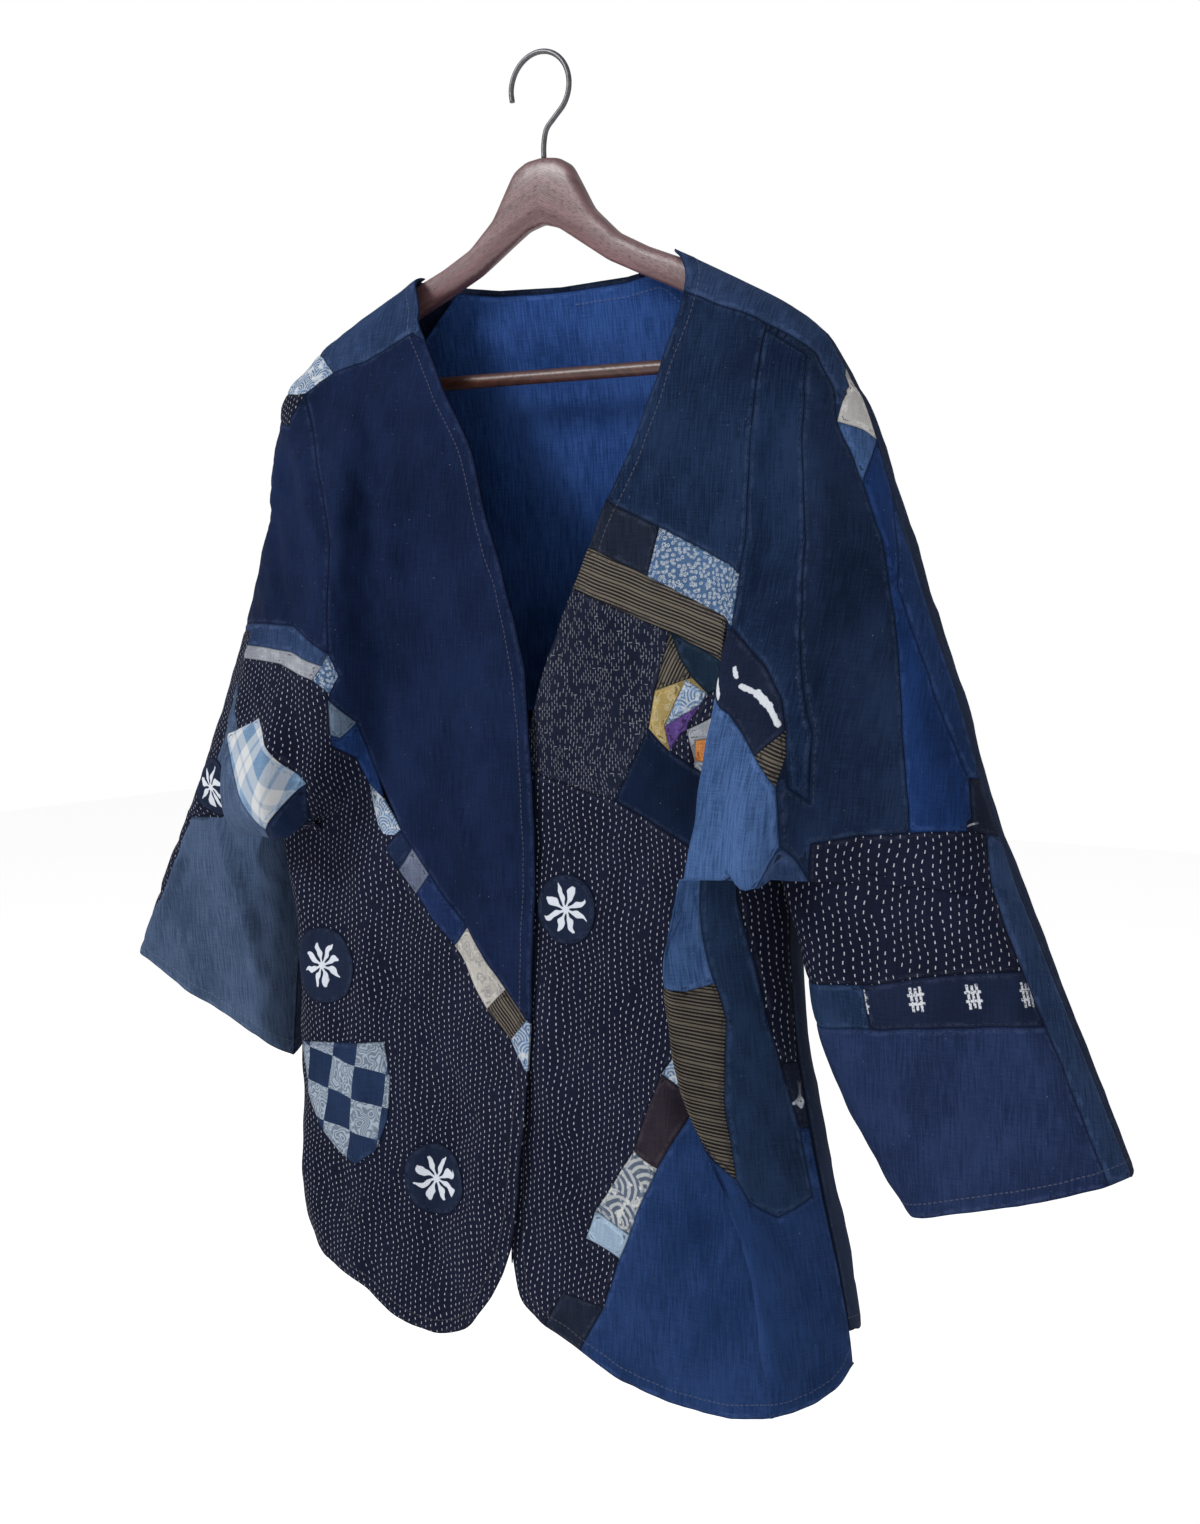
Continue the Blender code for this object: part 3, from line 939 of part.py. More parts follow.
def make_hanger():
    """Wooden body with two shaped arms, trouser bar and wire hook."""
    top, foot = np.array(ARM_TOP), np.array(ARM_FOOT[::-1])
    stations = np.r_[0, 0.012, 0.021, 0.028, 0.037, 0.056, 0.078, 0.102, 0.125, 0.145, 0.1665, 0.169, 0.180, 0.190, 0.193]
    high = np.interp(stations, top[:, 0], top[:, 1])
    low = np.interp(stations, foot[:, 0], foot[:, 1])
    sections = []
    for x, z1, z0 in [(-a, b, c) for a, b, c in zip(stations, high, low)][::-1] + list(zip(stations, high, low))[1:]:
        y, e = ARM_THICK / 2, min(ARM_ROUND, (z1 - z0) / 3)
        ring = [(-y, z0 + e), (-y + e, z0), (y - e, z0), (y, z0 + e), (y, z1 - e), (y - e, z1), (-y + e, z1), (-y, z1 - e)]
        sections.append(np.array([(x, a, b) for a, b in ring]))
    loft("hanger_body", "wood", sections)
    turn = np.linspace(0, 2 * np.pi, 13)[:-1]
    ring = np.stack([0 * turn, BAR_RADIUS * np.cos(turn), BAR_HEIGHT + BAR_RADIUS * np.sin(turn)], 1)
    loft("trouser_bar", "bar_wood", [ring + [x, 0, 0] for x in (-BAR_HALF, BAR_HALF)])
    angles = np.radians(np.linspace(-38, 196, 15))
    bend = [(HOOK_CENTRE[0] + HOOK_RADIUS * np.cos(a), HOOK_CENTRE[1] + HOOK_RADIUS * np.sin(a)) for a in angles]
    path = curve([(0.0, ARM_TOP[0][1] + 0.0003), (0.0, -0.056), (0.002, -0.047), (0.008, -0.0405)] + bend, 1)
    along = np.gradient(path, axis=0)
    along /= np.linalg.norm(along, axis=1)[:, None]
    along[0] = (0.0, 1.0)
    turn = np.linspace(0, 2 * np.pi, 9)[:-1]
    sections = []
    for (x, z), (u, w) in zip(path, along):
        sections.append(np.stack([x + WIRE * np.cos(turn) * -w, WIRE * np.sin(turn), z + WIRE * np.cos(turn) * u], 1))
    loft("hook", "steel", sections)


def main():
    """Build the jacket and its hanger."""
    remove_all()
    sew_fronts()
    sew_backs()
    sew_lining()
    make_hanger()


if __name__ == "__main__":
    main()
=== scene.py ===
"""Looks of the patched jacket on its hanger: dense cloth, sewn patches, wood and wire."""
import logging
from dataclasses import dataclass, field, replace
from enum import Enum
from typing import Optional, Sequence

import bpy
import numpy as np
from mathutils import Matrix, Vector
from mathutils.geometry import delaunay_2d_cdt

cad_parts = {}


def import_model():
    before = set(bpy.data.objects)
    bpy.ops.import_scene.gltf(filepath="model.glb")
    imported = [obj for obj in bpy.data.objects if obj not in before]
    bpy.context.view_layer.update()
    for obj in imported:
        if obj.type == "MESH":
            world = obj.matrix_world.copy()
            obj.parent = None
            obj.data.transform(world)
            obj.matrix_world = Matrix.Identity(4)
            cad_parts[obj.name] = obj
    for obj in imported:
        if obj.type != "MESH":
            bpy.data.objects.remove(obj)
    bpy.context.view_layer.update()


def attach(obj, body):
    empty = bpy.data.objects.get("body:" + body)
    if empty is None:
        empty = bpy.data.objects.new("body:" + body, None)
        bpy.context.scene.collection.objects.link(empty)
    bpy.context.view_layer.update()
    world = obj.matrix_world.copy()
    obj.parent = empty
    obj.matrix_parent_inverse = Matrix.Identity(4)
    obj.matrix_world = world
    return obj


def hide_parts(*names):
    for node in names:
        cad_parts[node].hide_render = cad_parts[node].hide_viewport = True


Point = tuple[float, float]
Colour = tuple[float, float, float]
log = logging.getLogger("jacket")

CM = 0.01
WALL = 0.0015
# Step of the mesh in the fronts and in the backs
FINE = 0.0030
BACK_FINE = 0.0075
# How far the lining lies inside the back, and how near the two faces of the jacket may come to its middle plane
LINING_GAP = 0.0038
MIDDLE_GAP = 0.00015
# A piece laid on the ground cloth: how far it stands out, and its thickness
APPLIED_LIFT, APPLIED_WALL = 0.0012, 0.0009
# Dip of the cloth at a seam, how wide it is, and its share on a piece that is laid on
SEAM_DIP, SEAM_DIP_WIDTH, APPLIED_DIP = 0.0006, 0.0011, 0.6
# Small waves of the cloth: shortest, longest, how many, height as a share of length
WAVE_SHORT, WAVE_LONG, WAVE_COUNT, WAVE_SHARE = 0.014, 0.060, 10, 0.018 / 2.2
BACK_WAVES = 0.8
CREASE_GAIN = 2.0
# Least side of a sheet's flat size, and least share of its rectangle that a piece may fill
LEAST_SIDE, LEAST_FILL = 0.0101, 0.301
# Studio: place, size and watts of each lamp, light from the world and what the camera sees of it
KEY_LAMP = ((-1.3, -2.0, 1.2), 0.8, 62.0)
FILL_LAMP = ((1.9, -1.6, 0.1), 1.6, 7.0)
LAMP_AIM = (0.0, 0.0, -0.45)
WORLD_LIGHT, WORLD_SEEN = 0.55, 1.0
FLOOR_HALF, FLOOR_HEIGHT, FLOOR_GLOW = 6.0, -1.3, 0.45
CAMERA_SPOT, CAMERA_TILT, CAMERA_TURN = (0.66544, -0.98655, -0.345), 90 - 5.0865, 32.28
CAMERA_LENS, CAMERA_SENSOR = 43.0, 36.0

# Turned edge of each sleeve and shoulder: height, distance out
OUTER = {
    "left": [
        (-0.1325, 0.101), (-0.1545, 0.145), (-0.170, 0.174), (-0.187, 0.197), (-0.203, 0.208), (-0.219, 0.2165),
        (-0.242, 0.2285), (-0.354, 0.265), (-0.411, 0.286), (-0.473, 0.307), (-0.546, 0.339), (-0.659, 0.389),
        (-0.730, 0.420),
    ],
    "right": [
        (-0.1325, 0.101), (-0.1545, 0.145), (-0.170, 0.174), (-0.187, 0.197), (-0.203, 0.208), (-0.2355, 0.215),
        (-0.292, 0.220), (-0.354, 0.236), (-0.450, 0.278), (-0.525, 0.316), (-0.610, 0.364), (-0.680, 0.404),
    ],
}
# Inner edge of each lower sleeve, and each side of the lower body: height, distance out
INNER = {
    "left": [(-0.505, 0.1850), (-0.555, 0.193), (-0.606, 0.205), (-0.650, 0.225), (-0.705, 0.262), (-0.760, 0.298)],
    "right": [(-0.500, 0.2042), (-0.550, 0.210), (-0.600, 0.216), (-0.668, 0.222), (-0.730, 0.226)],
}
SIDE = {
    "left": [
        (-0.505, 0.1808), (-0.555, 0.180), (-0.606, 0.184), (-0.650, 0.192), (-0.700, 0.203), (-0.750, 0.215),
        (-0.800, 0.224), (-0.850, 0.226),
    ],
    "right": [
        (-0.500, 0.2000), (-0.550, 0.196), (-0.600, 0.192), (-0.660, 0.190), (-0.754, 0.190), (-0.800, 0.178),
        (-0.850, 0.170),
    ],
}
SPLIT = {"left": -0.505, "right": -0.500}
# Half depth of the cloth: height, front body, front sleeve, back body, back sleeve
DEPTH = [
    (-0.90, 0.056, 0.020, 0.050, 0.020),
    (-0.75, 0.054, 0.022, 0.048, 0.022),
    (-0.66, 0.052, 0.024, 0.047, 0.024),
    (-0.58, 0.050, 0.032, 0.046, 0.030),
    (-0.50, 0.048, 0.040, 0.046, 0.036),
    (-0.40, 0.049, 0.044, 0.046, 0.040),
    (-0.33, 0.050, 0.046, 0.045, 0.041),
    (-0.26, 0.046, 0.043, 0.042, 0.038),
    (-0.21, 0.038, 0.034, 0.036, 0.032),
    (-0.17, 0.027, 0.024, 0.028, 0.024),
    (-0.13, 0.018, 0.018, 0.020, 0.018),
]
NOSE = 0.62
SLEEVE_LAP = 0.005
SLEEVE_FROM = 0.15
SLEEVE_BLEND = 0.08
# The large fold beside each sleeve: height, place of its crest, how far it stands out, the width it takes up
CREST = {
    "left": [
        (-0.90, 0.205, 0.004, 0.003), (-0.80, 0.203, 0.006, 0.005), (-0.74, 0.198, 0.012, 0.010),
        (-0.70, 0.186, 0.020, 0.016), (-0.646, 0.165, 0.030, 0.024), (-0.576, 0.153, 0.037, 0.030),
        (-0.52, 0.158, 0.036, 0.029), (-0.46, 0.164, 0.030, 0.024), (-0.41, 0.168, 0.022, 0.018),
        (-0.36, 0.170, 0.010, 0.008), (-0.31, 0.171, 0.0, 0.0), (-0.10, 0.171, 0.0, 0.0),
    ],
    "right": [
        (-0.90, 0.150, 0.0, 0.0), (-0.530, 0.150, 0.0, 0.0), (-0.500, 0.150, 0.002, 0.024),
        (-0.488, 0.148, 0.020, 0.026),
        (-0.470, 0.142, 0.034, 0.026), (-0.44, 0.130, 0.037, 0.026), (-0.40, 0.119, 0.036, 0.025),
        (-0.36, 0.118, 0.033, 0.024), (-0.30, 0.120, 0.026, 0.018), (-0.26, 0.122, 0.017, 0.008),
        (-0.21, 0.126, 0.0, 0.0), (-0.10, 0.130, 0.0, 0.0),
    ],
}
FALL = {"left": 0.060, "right": 0.115}
POUCH = {"left": (0.195, 0.240, 0.014, 0.018), "right": (0.165, 0.250, 0.022, 0.018)}
# Soft hanging folds: side, face, out and height of the top, out and height of the foot, depth, half width
SOFT_FOLDS = [
    ("left", "front", 0.175, -0.19, 0.172, -0.36, 0.004, 0.012),
    ("left", "front", 0.222, -0.23, 0.232, -0.46, 0.009, 0.014),
    ("left", "front", 0.252, -0.27, 0.300, -0.49, -0.006, 0.016),
    ("left", "front", 0.120, -0.58, 0.105, -0.84, 0.006, 0.022),
    ("left", "front", 0.210, -0.66, 0.225, -0.84, 0.006, 0.020),
    ("right", "front", 0.090, -0.24, 0.085, -0.47, 0.006, 0.014),
    ("right", "front", 0.195, -0.23, 0.160, -0.33, -0.006, 0.014),
    ("right", "front", 0.110, -0.50, 0.118, -0.80, 0.006, 0.016),
    ("right", "front", 0.050, -0.62, 0.055, -0.84, -0.006, 0.022),
    ("left", "back", 0.150, -0.24, 0.140, -0.58, 0.009, 0.022),
    ("left", "back", 0.060, -0.40, 0.070, -0.82, -0.007, 0.025),
    ("left", "back", 0.225, -0.26, 0.265, -0.50, 0.008, 0.018),
    ("right", "back", 0.145, -0.24, 0.135, -0.58, 0.009, 0.022),
    ("right", "back", 0.070, -0.42, 0.075, -0.82, -0.007, 0.025),
    ("right", "back", 0.215, -0.26, 0.250, -0.50, 0.008, 0.018),
]
# Free edges in centimetres: out and height
LAPEL = {
    "left": [
        (10.2, -12.0), (11.5, -14.5), (11.7, -16.1), (11.2, -18.8), (9.3, -25.0), (7.3, -29.3),
        (5.3, -33.8), (3.0, -39.3), (1.6, -43.0), (0.8, -47.0), (0.8, -74.5),
    ],
    "right": [
        (10.2, -12.0), (8.9, -14.0), (8.3, -15.5), (8.0, -16.9), (5.2, -21.2), (2.6, -25.3),
        (0.7, -30.8), (-0.9, -35.5), (-1.9, -40.0), (-2.4, -45.0), (-2.6, -51.0), (-2.5, -58.0),
        (-2.2, -66.0), (-1.5, -73.0),
    ],
}
HEM = {
    "left": [
        (0.9, -76.5), (1.4, -79.2), (3.0, -80.4), (5.8, -81.5), (10.5, -83.1), (16.0, -83.5),
        (20.5, -82.6), (24.5, -81.8), (26.6, -80.6), (27.4, -78.5),
    ],
    "right": [
        (-1.0, -76.0), (0.0, -78.6), (1.4, -80.7), (3.0, -82.3), (5.6, -83.1), (8.5, -82.6),
        (11.9, -80.9), (14.6, -79.8), (17.5, -79.2), (20.5, -78.4), (22.0, -76.5),
    ],
}
CUFF = {
    "left": [(24.8, -71.0), (29.5, -69.5), (34.5, -67.9), (38.6, -66.2), (41.5, -65.2)],
    "right": [(20.5, -67.9), (23.8, -65.9), (26.5, -64.8), (30.0, -63.5), (33.0, -62.0), (36.5, -60.4), (39.5, -59.8)],
}
BACK_NECK = [(0.0, -14.2), (5.0, -14.0), (8.5, -13.5), (10.2, -12.6)]
BACK_HEM = {
    "left": [(0.0, -80.5), (14.0, -80.3), (22.0, -79.6), (26.5, -77.8)],
    "right": [(0.0, -80.5), (12.0, -80.2), (18.0, -79.2), (22.0, -77.0)],
}
# Pieces of each front: name, zone, cloth, corners in centimetres (out, height)
FRONT_PIECES = {
    "right": [
        ("front_right_sashiko", "body", "indigo_black", [(-6, -48), (40, -48), (40, -90), (-6, -90)]),
        ("sleeve_right_upper", "upper", "faded_navy",
         [(17.2, -20.6), (15.4, -23.8), (14.4, -27.0), (13.9, -31.0), (13.8, -38.0), (18.0, -42.0), (40, -42),
          (40, -15), (22, -15)]),
        ("front_right_panel", "both", "faded_navy",
         [(-5, -10), (14, -10), (14.9, -19.3), (17.2, -20.6), (15.4, -23.8), (14.4, -27.0), (13.9, -31.0),
          (13.8, -41.0), (11.7, -42.5), (10.3, -46.0), (8.3, -49.6), (6.0, -52.4), (2.8, -55.6), (-0.5, -59.2),
          (-2.1, -61.0), (-5, -61.2)]),
        ("sleeve_right_sashiko", "upper", "indigo_black",
         [(24.4, -38.3), (18.5, -38.7), (15.1, -39.7), (13.7, -40.6), (13.7, -44.0), (11.9, -44.9), (11.0, -46.7),
          (10.3, -49.4), (9.6, -50.2), (9.6, -52), (40, -52), (40, -37.0)]),
        ("shoulder_strip_right", "upper", "slate",
         [(5, -10), (30, -10), (19.3, -16.4), (16.3, -18.0), (14.9, -19.3), (11.0, -18.2), (8.6, -17.1),
          (7.4, -17.6), (6, -14)]),
        ("shoulder_print_right", "upper", "pale_print",
         [(14.9, -19.3), (16.3, -18.0), (19.3, -16.4), (21.5, -13), (25, -18.5), (21.3, -19.9), (17.2, -20.6)]),
        ("sleeve_right_slate", "upper", "slate",
         [(40, -35.0), (23.3, -35.9), (17.3, -36.2), (13.7, -38.2), (14.4, -38.8), (17.3, -37.9), (23.6, -37.4),
          (40, -36.0)]),
        ("sleeve_right_band", "upper", "oatmeal",
         [(40, -36.0), (23.6, -37.4), (17.3, -37.9), (14.4, -38.8), (15.1, -39.7), (18.5, -38.7), (24.4, -38.3),
          (40, -37.0)]),
        ("sleeve_right_chambray", "upper", "chambray",
         [(24.4, -39.8), (26.9, -44.5), (27.3, -52), (24.9, -52), (20.4, -49.2), (19.0, -48.0), (20.6, -45.4),
          (22.6, -42.9)]),
        ("diagonal_bright_blue", "upper", "bright_blue",
         [(13.7, -43.3), (13.8, -41.0), (11.7, -42.5), (10.3, -46.0), (9.8, -47.6), (11.0, -46.9), (11.9, -45.0),
          (13.7, -44.2)]),
        ("diagonal_light_print", "upper", "pale_print",
         [(9.8, -47.6), (8.3, -49.6), (9.6, -50.6), (10.5, -49.2), (11.0, -46.9)]),
        ("diagonal_dark_navy", "both", "dark_blue",
         [(8.3, -49.6), (7.4, -50.8), (8.5, -52.3), (9.6, -50.9)]),
        ("diagonal_royal", "body", "royal_navy",
         [(6.0, -52.4), (2.8, -55.6), (3.9, -56.9), (7.2, -53.8)]),
        ("diagonal_cream_print", "body", "cream",
         [(2.8, -55.6), (-0.5, -59.2), (0.9, -60.6), (3.9, -56.9)]),
        ("diagonal_brown_stripe", "body", "brown_stripe",
         [(-0.5, -59.2), (-2.1, -61.0), (-0.9, -62.4), (0.9, -60.6)]),
        ("patch_plaid", "upper", "plaid",
         [(23.7, -43.6), (19.9, -42.3), (16.0, -46.6), (19.0, -48.0)]),
    ],
    "left": [
        ("front_left_dark", "upper", "dark_slate",
         [(17.5, -10), (17.4, -33.0), (17.6, -36.0), (15.9, -38.1), (15.0, -45.0), (15.0, -52), (40, -52),
          (40, -10)]),
        ("front_left_panel", "upper", "slate_navy",
         [(-2, -10), (17.5, -10), (17.4, -33.0), (17.6, -36.0), (14.0, -36.0), (0, -30)]),
        ("shoulder_strip_left", "upper", "slate",
         [(9, -10), (30, -10), (24.5, -18.2), (23.3, -20.0), (22.9, -24.0), (22.3, -22.0), (21.0, -19.9),
          (18.1, -18.4), (15.6, -17.4), (11.8, -16.3), (9, -15.8)]),
        ("patch_cream", "upper", "cream",
         [(23.3, -20.0), (24.5, -18.2), (28, -20), (28, -22.8), (25.6, -24.3), (22.9, -24.0)]),
        ("sleeve_left_blue", "upper", "bright_blue",
         [(25.6, -24.3), (28, -22.8), (40, -22), (40, -44), (35.6, -44.8), (33.6, -46.4), (33.9, -52), (30.2, -52),
          (30.0, -48.3), (28.6, -40.3), (27.2, -35.3), (25.7, -30.5), (24.7, -27.4)]),
        ("patch_ikat", "upper", "ikat",
         [(33.6, -46.4), (35.6, -44.8), (42, -43), (42, -52), (33.9, -52)]),
        ("patch_charcoal", "upper", "charcoal",
         [(4, -27.5), (8.2, -28.8), (11.5, -30.2), (10.7, -33.1), (6.7, -31.4), (4, -30.6)]),
        ("patch_pebble", "upper", "pale_print",
         [(11.5, -30.2), (17.5, -32.9), (17.6, -36.0), (16.3, -35.6), (10.7, -33.1)]),
        ("band_brown", "upper", "brown_stripe",
         [(4, -30.6), (6.7, -31.4), (10.7, -33.1), (16.3, -35.6), (15.9, -38.1), (12.2, -36.4), (5.3, -33.8),
          (3, -33)]),
        ("field_kasuri", "upper", "kasuri",
         [(0, -32), (3, -33), (5.3, -33.8), (12.2, -36.4), (11.6, -38.6), (10.7, -42.2), (8.2, -46.7), (2.3, -45.3),
          (-1, -44.6)]),
        ("hexagon_ochre", "upper", "ochre",
         [(11.2, -39.9), (13.7, -39.1), (14.7, -40.0), (13.4, -41.8), (12.2, -43.5), (10.7, -42.2)]),
        ("hexagon_beige", "upper", "cream",
         [(13.3, -42.2), (15.3, -41.3), (17.0, -41.6), (16.6, -45.4), (15.0, -45.0), (13.8, -44.4)]),
        ("piece_dotted", "upper", "indigo_black",
         [(14.7, -40.0), (15.6, -39.7), (17.0, -40.0), (17.0, -41.6), (15.3, -41.3), (13.3, -42.2), (13.8, -44.4),
          (12.2, -43.5), (13.4, -41.8)]),
        ("diamond_indigo", "upper", "deep_indigo",
         [(10.7, -42.2), (12.2, -43.5), (13.8, -44.4), (15.0, -45.0), (16.6, -45.4), (15.7, -49.8), (14.0, -49.3),
          (8.2, -46.7)]),
        ("underarm_disc", "upper", "ikat",
         [(15.9, -38.1), (17.6, -36.0), (20.3, -38.2), (22.0, -40.0), (22.7, -41.8), (21.2, -43.3), (19.0, -41.0),
          (17.0, -40.0), (15.6, -39.7)]),
        ("underarm_denim", "both", "light_denim",
         [(17.0, -40.0), (19.0, -41.0), (21.2, -43.3), (22.7, -44.9), (23.1, -47.8), (24.4, -50.5), (20.2, -50.5),
          (20.2, -52.4), (20.7, -57.0), (19.0, -57.4), (15.6, -57.0), (15.7, -49.8), (16.6, -45.4), (17.0, -41.6)]),
        ("front_left_sashiko", "both", "indigo_black",
         [(-2, -45), (2.3, -45.3), (8.2, -46.7), (14.0, -49.3), (15.7, -49.8), (15.6, -57.0), (14.8, -58.8),
          (12.1, -63.0), (10.1, -68.1), (7.2, -72.5), (6.6, -74.3), (9.2, -75.0), (8.0, -78.4), (6.2, -81.6),
          (6.2, -86), (-2, -86)]),
        ("piece_brown_rib", "body", "brown_stripe",
         [(15.6, -57.0), (19.0, -57.4), (20.7, -57.0), (21.1, -59.2), (20.6, -64.0), (20.7, -68.3), (18.6, -66.4),
          (16.6, -63.6), (16.2, -60.0)]),
        ("panel_slate_green", "body", "slate_green",
         [(20.2, -49), (22.2, -49), (22.4, -52.4), (23.6, -59.8), (24.9, -65.6), (25.1, -69.6), (22.9, -70.6),
          (21.3, -69.6), (20.7, -68.3), (20.6, -64.0), (21.1, -59.2), (20.7, -57.0), (20.2, -52.4)]),
        ("strip_side_sashiko", "body", "indigo_black",
         [(22.2, -49), (30, -49), (30, -61.8), (24.0, -61.8), (23.6, -59.8), (22.4, -52.4)]),
        ("patch_brush", "body", "pale_print",
         [(24.0, -61.8), (30, -61.8), (30, -66.2), (24.9, -65.6)]),
        ("piece_wave", "body", "pale_print",
         [(14.8, -58.8), (15.6, -57.0), (16.2, -60.0), (16.6, -63.6), (14.5, -64.4), (12.1, -63.0)]),
        ("piece_plum", "body", "plum",
         [(12.1, -63.0), (14.5, -64.4), (12.0, -68.8), (10.1, -68.1)]),
        ("piece_fan", "body", "pale_print",
         [(10.1, -68.1), (12.0, -68.8), (9.9, -73.4), (7.2, -72.5)]),
        ("panel_royal", "body", "royal_blue",
         [(14.5, -64.4), (16.6, -63.6), (18.6, -66.4), (20.7, -68.3), (21.3, -69.6), (22.9, -70.6), (25.1, -69.6),
          (24.9, -65.6), (30, -66.2), (32, -86), (6.2, -86), (6.2, -81.6), (8.0, -78.4), (9.2, -75.0), (9.9, -73.4),
          (12.0, -68.8)]),
    ],
}
# Pieces of each lower sleeve: name, cloth, corners in centimetres
SLEEVE_PIECES = {
    "right": [
        ("sleeve_right_lower", "chambray", [(10, -45), (45, -45), (45, -75), (10, -75)]),
    ],
    "left": [
        ("sleeve_left_lower", "indigo_cloth", [(10, -45), (45, -45), (45, -75), (10, -75)]),
        ("sleeve_left_sashiko", "indigo_black",
         [(10, -45), (32.2, -45), (32.2, -49.4), (34.1, -54.6), (30.0, -55.3), (24.2, -56.6), (20.8, -57.3),
          (10, -59)]),
        ("sleeve_left_kasuri", "kasuri_band",
         [(24.2, -56.6), (30.0, -55.3), (34.1, -54.6), (35.3, -57.6), (30.0, -58.4), (24.6, -59.2)]),
        ("sleeve_left_slate", "slate",
         [(32.2, -45), (45, -45), (45, -75), (41.5, -75), (38.8, -66.5), (36.1, -59.4), (35.3, -57.6),
          (34.1, -54.6), (32.2, -49.4)]),
    ],
}
# Roundels: name, side, zone, place of the middle, half width and half height, in centimetres
ROUNDELS = [
    ("roundel_front_left", "left", "body", 4.9, -53.7, 2.2, 2.2),
    ("roundel_side_right", "right", "body", 14.8, -59.3, 2.9, 2.6),
    ("roundel_hem_right", "right", "body", 5.5, -72.7, 2.4, 2.4),
]
POCKET = [
    (17.5, -64.9), (13.9, -64.5), (9.5, -63.9), (9.0, -66.2), (9.2, -69.2), (10.1, -71.4), (11.6, -72.5),
    (13.3, -72.0), (15.1, -70.3), (16.6, -68.0),
]
ARM_TOP = [
    (0.0, -0.0645), (0.012, -0.066), (0.021, -0.071), (0.028, -0.083), (0.037, -0.099), (0.056, -0.1165),
    (0.078, -0.1275), (0.102, -0.1368), (0.125, -0.1480), (0.145, -0.1585), (0.165, -0.1695), (0.180, -0.1800),
    (0.190, -0.1900), (0.193, -0.2000),
]
ARM_FOOT = [
    (0.193, -0.2100), (0.180, -0.2125), (0.1690, -0.2110), (0.1665, -0.1945), (0.140, -0.1770), (0.100, -0.1560),
    (0.073, -0.1440), (0.050, -0.1335), (0.012, -0.1095), (0.0, -0.1062),
]
BAR_RADIUS, BAR_HEIGHT, BAR_HALF = 0.0045, -0.2015, 0.1662
WIRE, HOOK_CENTRE, HOOK_RADIUS = 0.0017, (-0.003, -0.0205), 0.0222

# Small pieces of the looks alone: name, side, zone, cloth, corners in centimetres
TRIMS = [
    ("shoulder_dots", "right", "upper", "indigo_black",
     [(17.2, -20.6), (21.3, -19.9), (25, -18.5), (26, -20.5), (22.3, -21.7), (18.2, -22.7)]),
    ("sleeve_print", "right", "upper", "pale_print",
     [(13.7, -38.2), (14.4, -38.8), (15.1, -39.7), (13.7, -40.6), (12.9, -39.4)]),
    ("sleeve_edge_strip", "right", "upper", "indigo_black",
     [(22.6, -36.5), (40, -35.0), (40, -49.9), (28.6, -49.9), (27.2, -47.0), (25.0, -41.5)]),
    ("small_blue", "right", "upper", "dark_blue", [(15.8, -46.8), (19.0, -48.0), (20.4, -49.2), (17.0, -49.0)]),
    ("grey_denim", "right", "upper", "denim_grey", [(13.8, -41.0), (11.7, -42.5), (13.0, -43.5), (13.8, -43.3)]),
    ("heather", "right", "body", "grey_heather", [(7.4, -50.8), (6.0, -52.4), (7.2, -53.8), (8.5, -52.3)]),
    ("wave_end", "right", "body", "pale_print",
     [(-2.1, -61.0), (-5, -61.2), (-5, -64.2), (-2.0, -64.2), (-0.9, -62.4)]),
    ("sleeve_mid", "left", "upper", "slate_navy",
     [(17.5, -18.6), (20.4, -20.2), (20.9, -30), (22.0, -36), (24.0, -42), (24.2, -46), (23.2, -45), (22.7, -41.8),
      (22.0, -40), (20.3, -38.2), (17.6, -36), (17.4, -33)]),
    ("corner_blue", "left", "upper", "light_denim", [(22.9, -24.0), (25.6, -24.3), (24.7, -27.4)]),
    ("teal", "left", "upper", "teal",
     [(12.2, -36.4), (15.9, -38.1), (15.6, -39.7), (14.7, -40.0), (13.7, -39.1), (12.9, -37.9)]),
    ("striped_border", "left", "upper", "brown_stripe",
     [(12.2, -36.4), (12.9, -37.9), (13.7, -39.1), (11.2, -39.9), (10.7, -42.2), (11.6, -38.6)]),
    ("hexagon_stripe", "left", "upper", "pale_print", [(13.3, -39.2), (14.7, -40.0), (12.9, -42.4), (11.9, -42.0)]),
    ("hexagon_purple", "left", "upper", "violet", [(14.3, -40.6), (12.2, -43.5), (11.9, -42.0)]),
    ("hexagon_orange", "left", "upper", "orange", [(13.9, -42.8), (15.1, -42.6), (15.1, -44.1), (13.8, -44.0)]),
    ("sleeve_band_top", "left", "upper", "indigo_black",
     [(24.5, -48.3), (26.5, -47.9), (35.0, -46.9), (35.5, -52), (24.5, -52)]),
    ("ikat_top", "left", "upper", "ikat", [(33.6, -43.9), (42, -42.6), (42, -46.2), (34.0, -46.9)]),
    ("sleeve_slate_top", "left", "upper", "slate", [(35.0, -46.9), (42, -46.2), (42, -52), (35.5, -52)]),
    ("sleeve_blue_outer", "left", "upper", "royal_blue",
     [(28, -22.8), (40, -22), (42, -42.6), (33.6, -43.9), (27.2, -33.3), (27.0, -28)]),
    ("underarm_stripes", "left", "upper", "brown_stripe",
     [(22.7, -41.8), (23.0, -43.2), (22.7, -44.9), (21.2, -43.3)]),
    ("underarm_slate", "left", "upper", "slate", [(23.1, -47.8), (24.4, -50.4), (20.4, -50.4), (21.5, -49.6)]),
    ("pale_blue", "left", "body", "pale_blue", [(7.2, -72.5), (9.9, -73.4), (9.2, -75.0), (6.6, -74.3)]),
    ("hem_charcoal", "left", "body", "charcoal",
     [(4.8, -78.2), (8.0, -78.4), (6.2, -81.6), (6.2, -84), (3.6, -84), (3.6, -80.5)]),
]

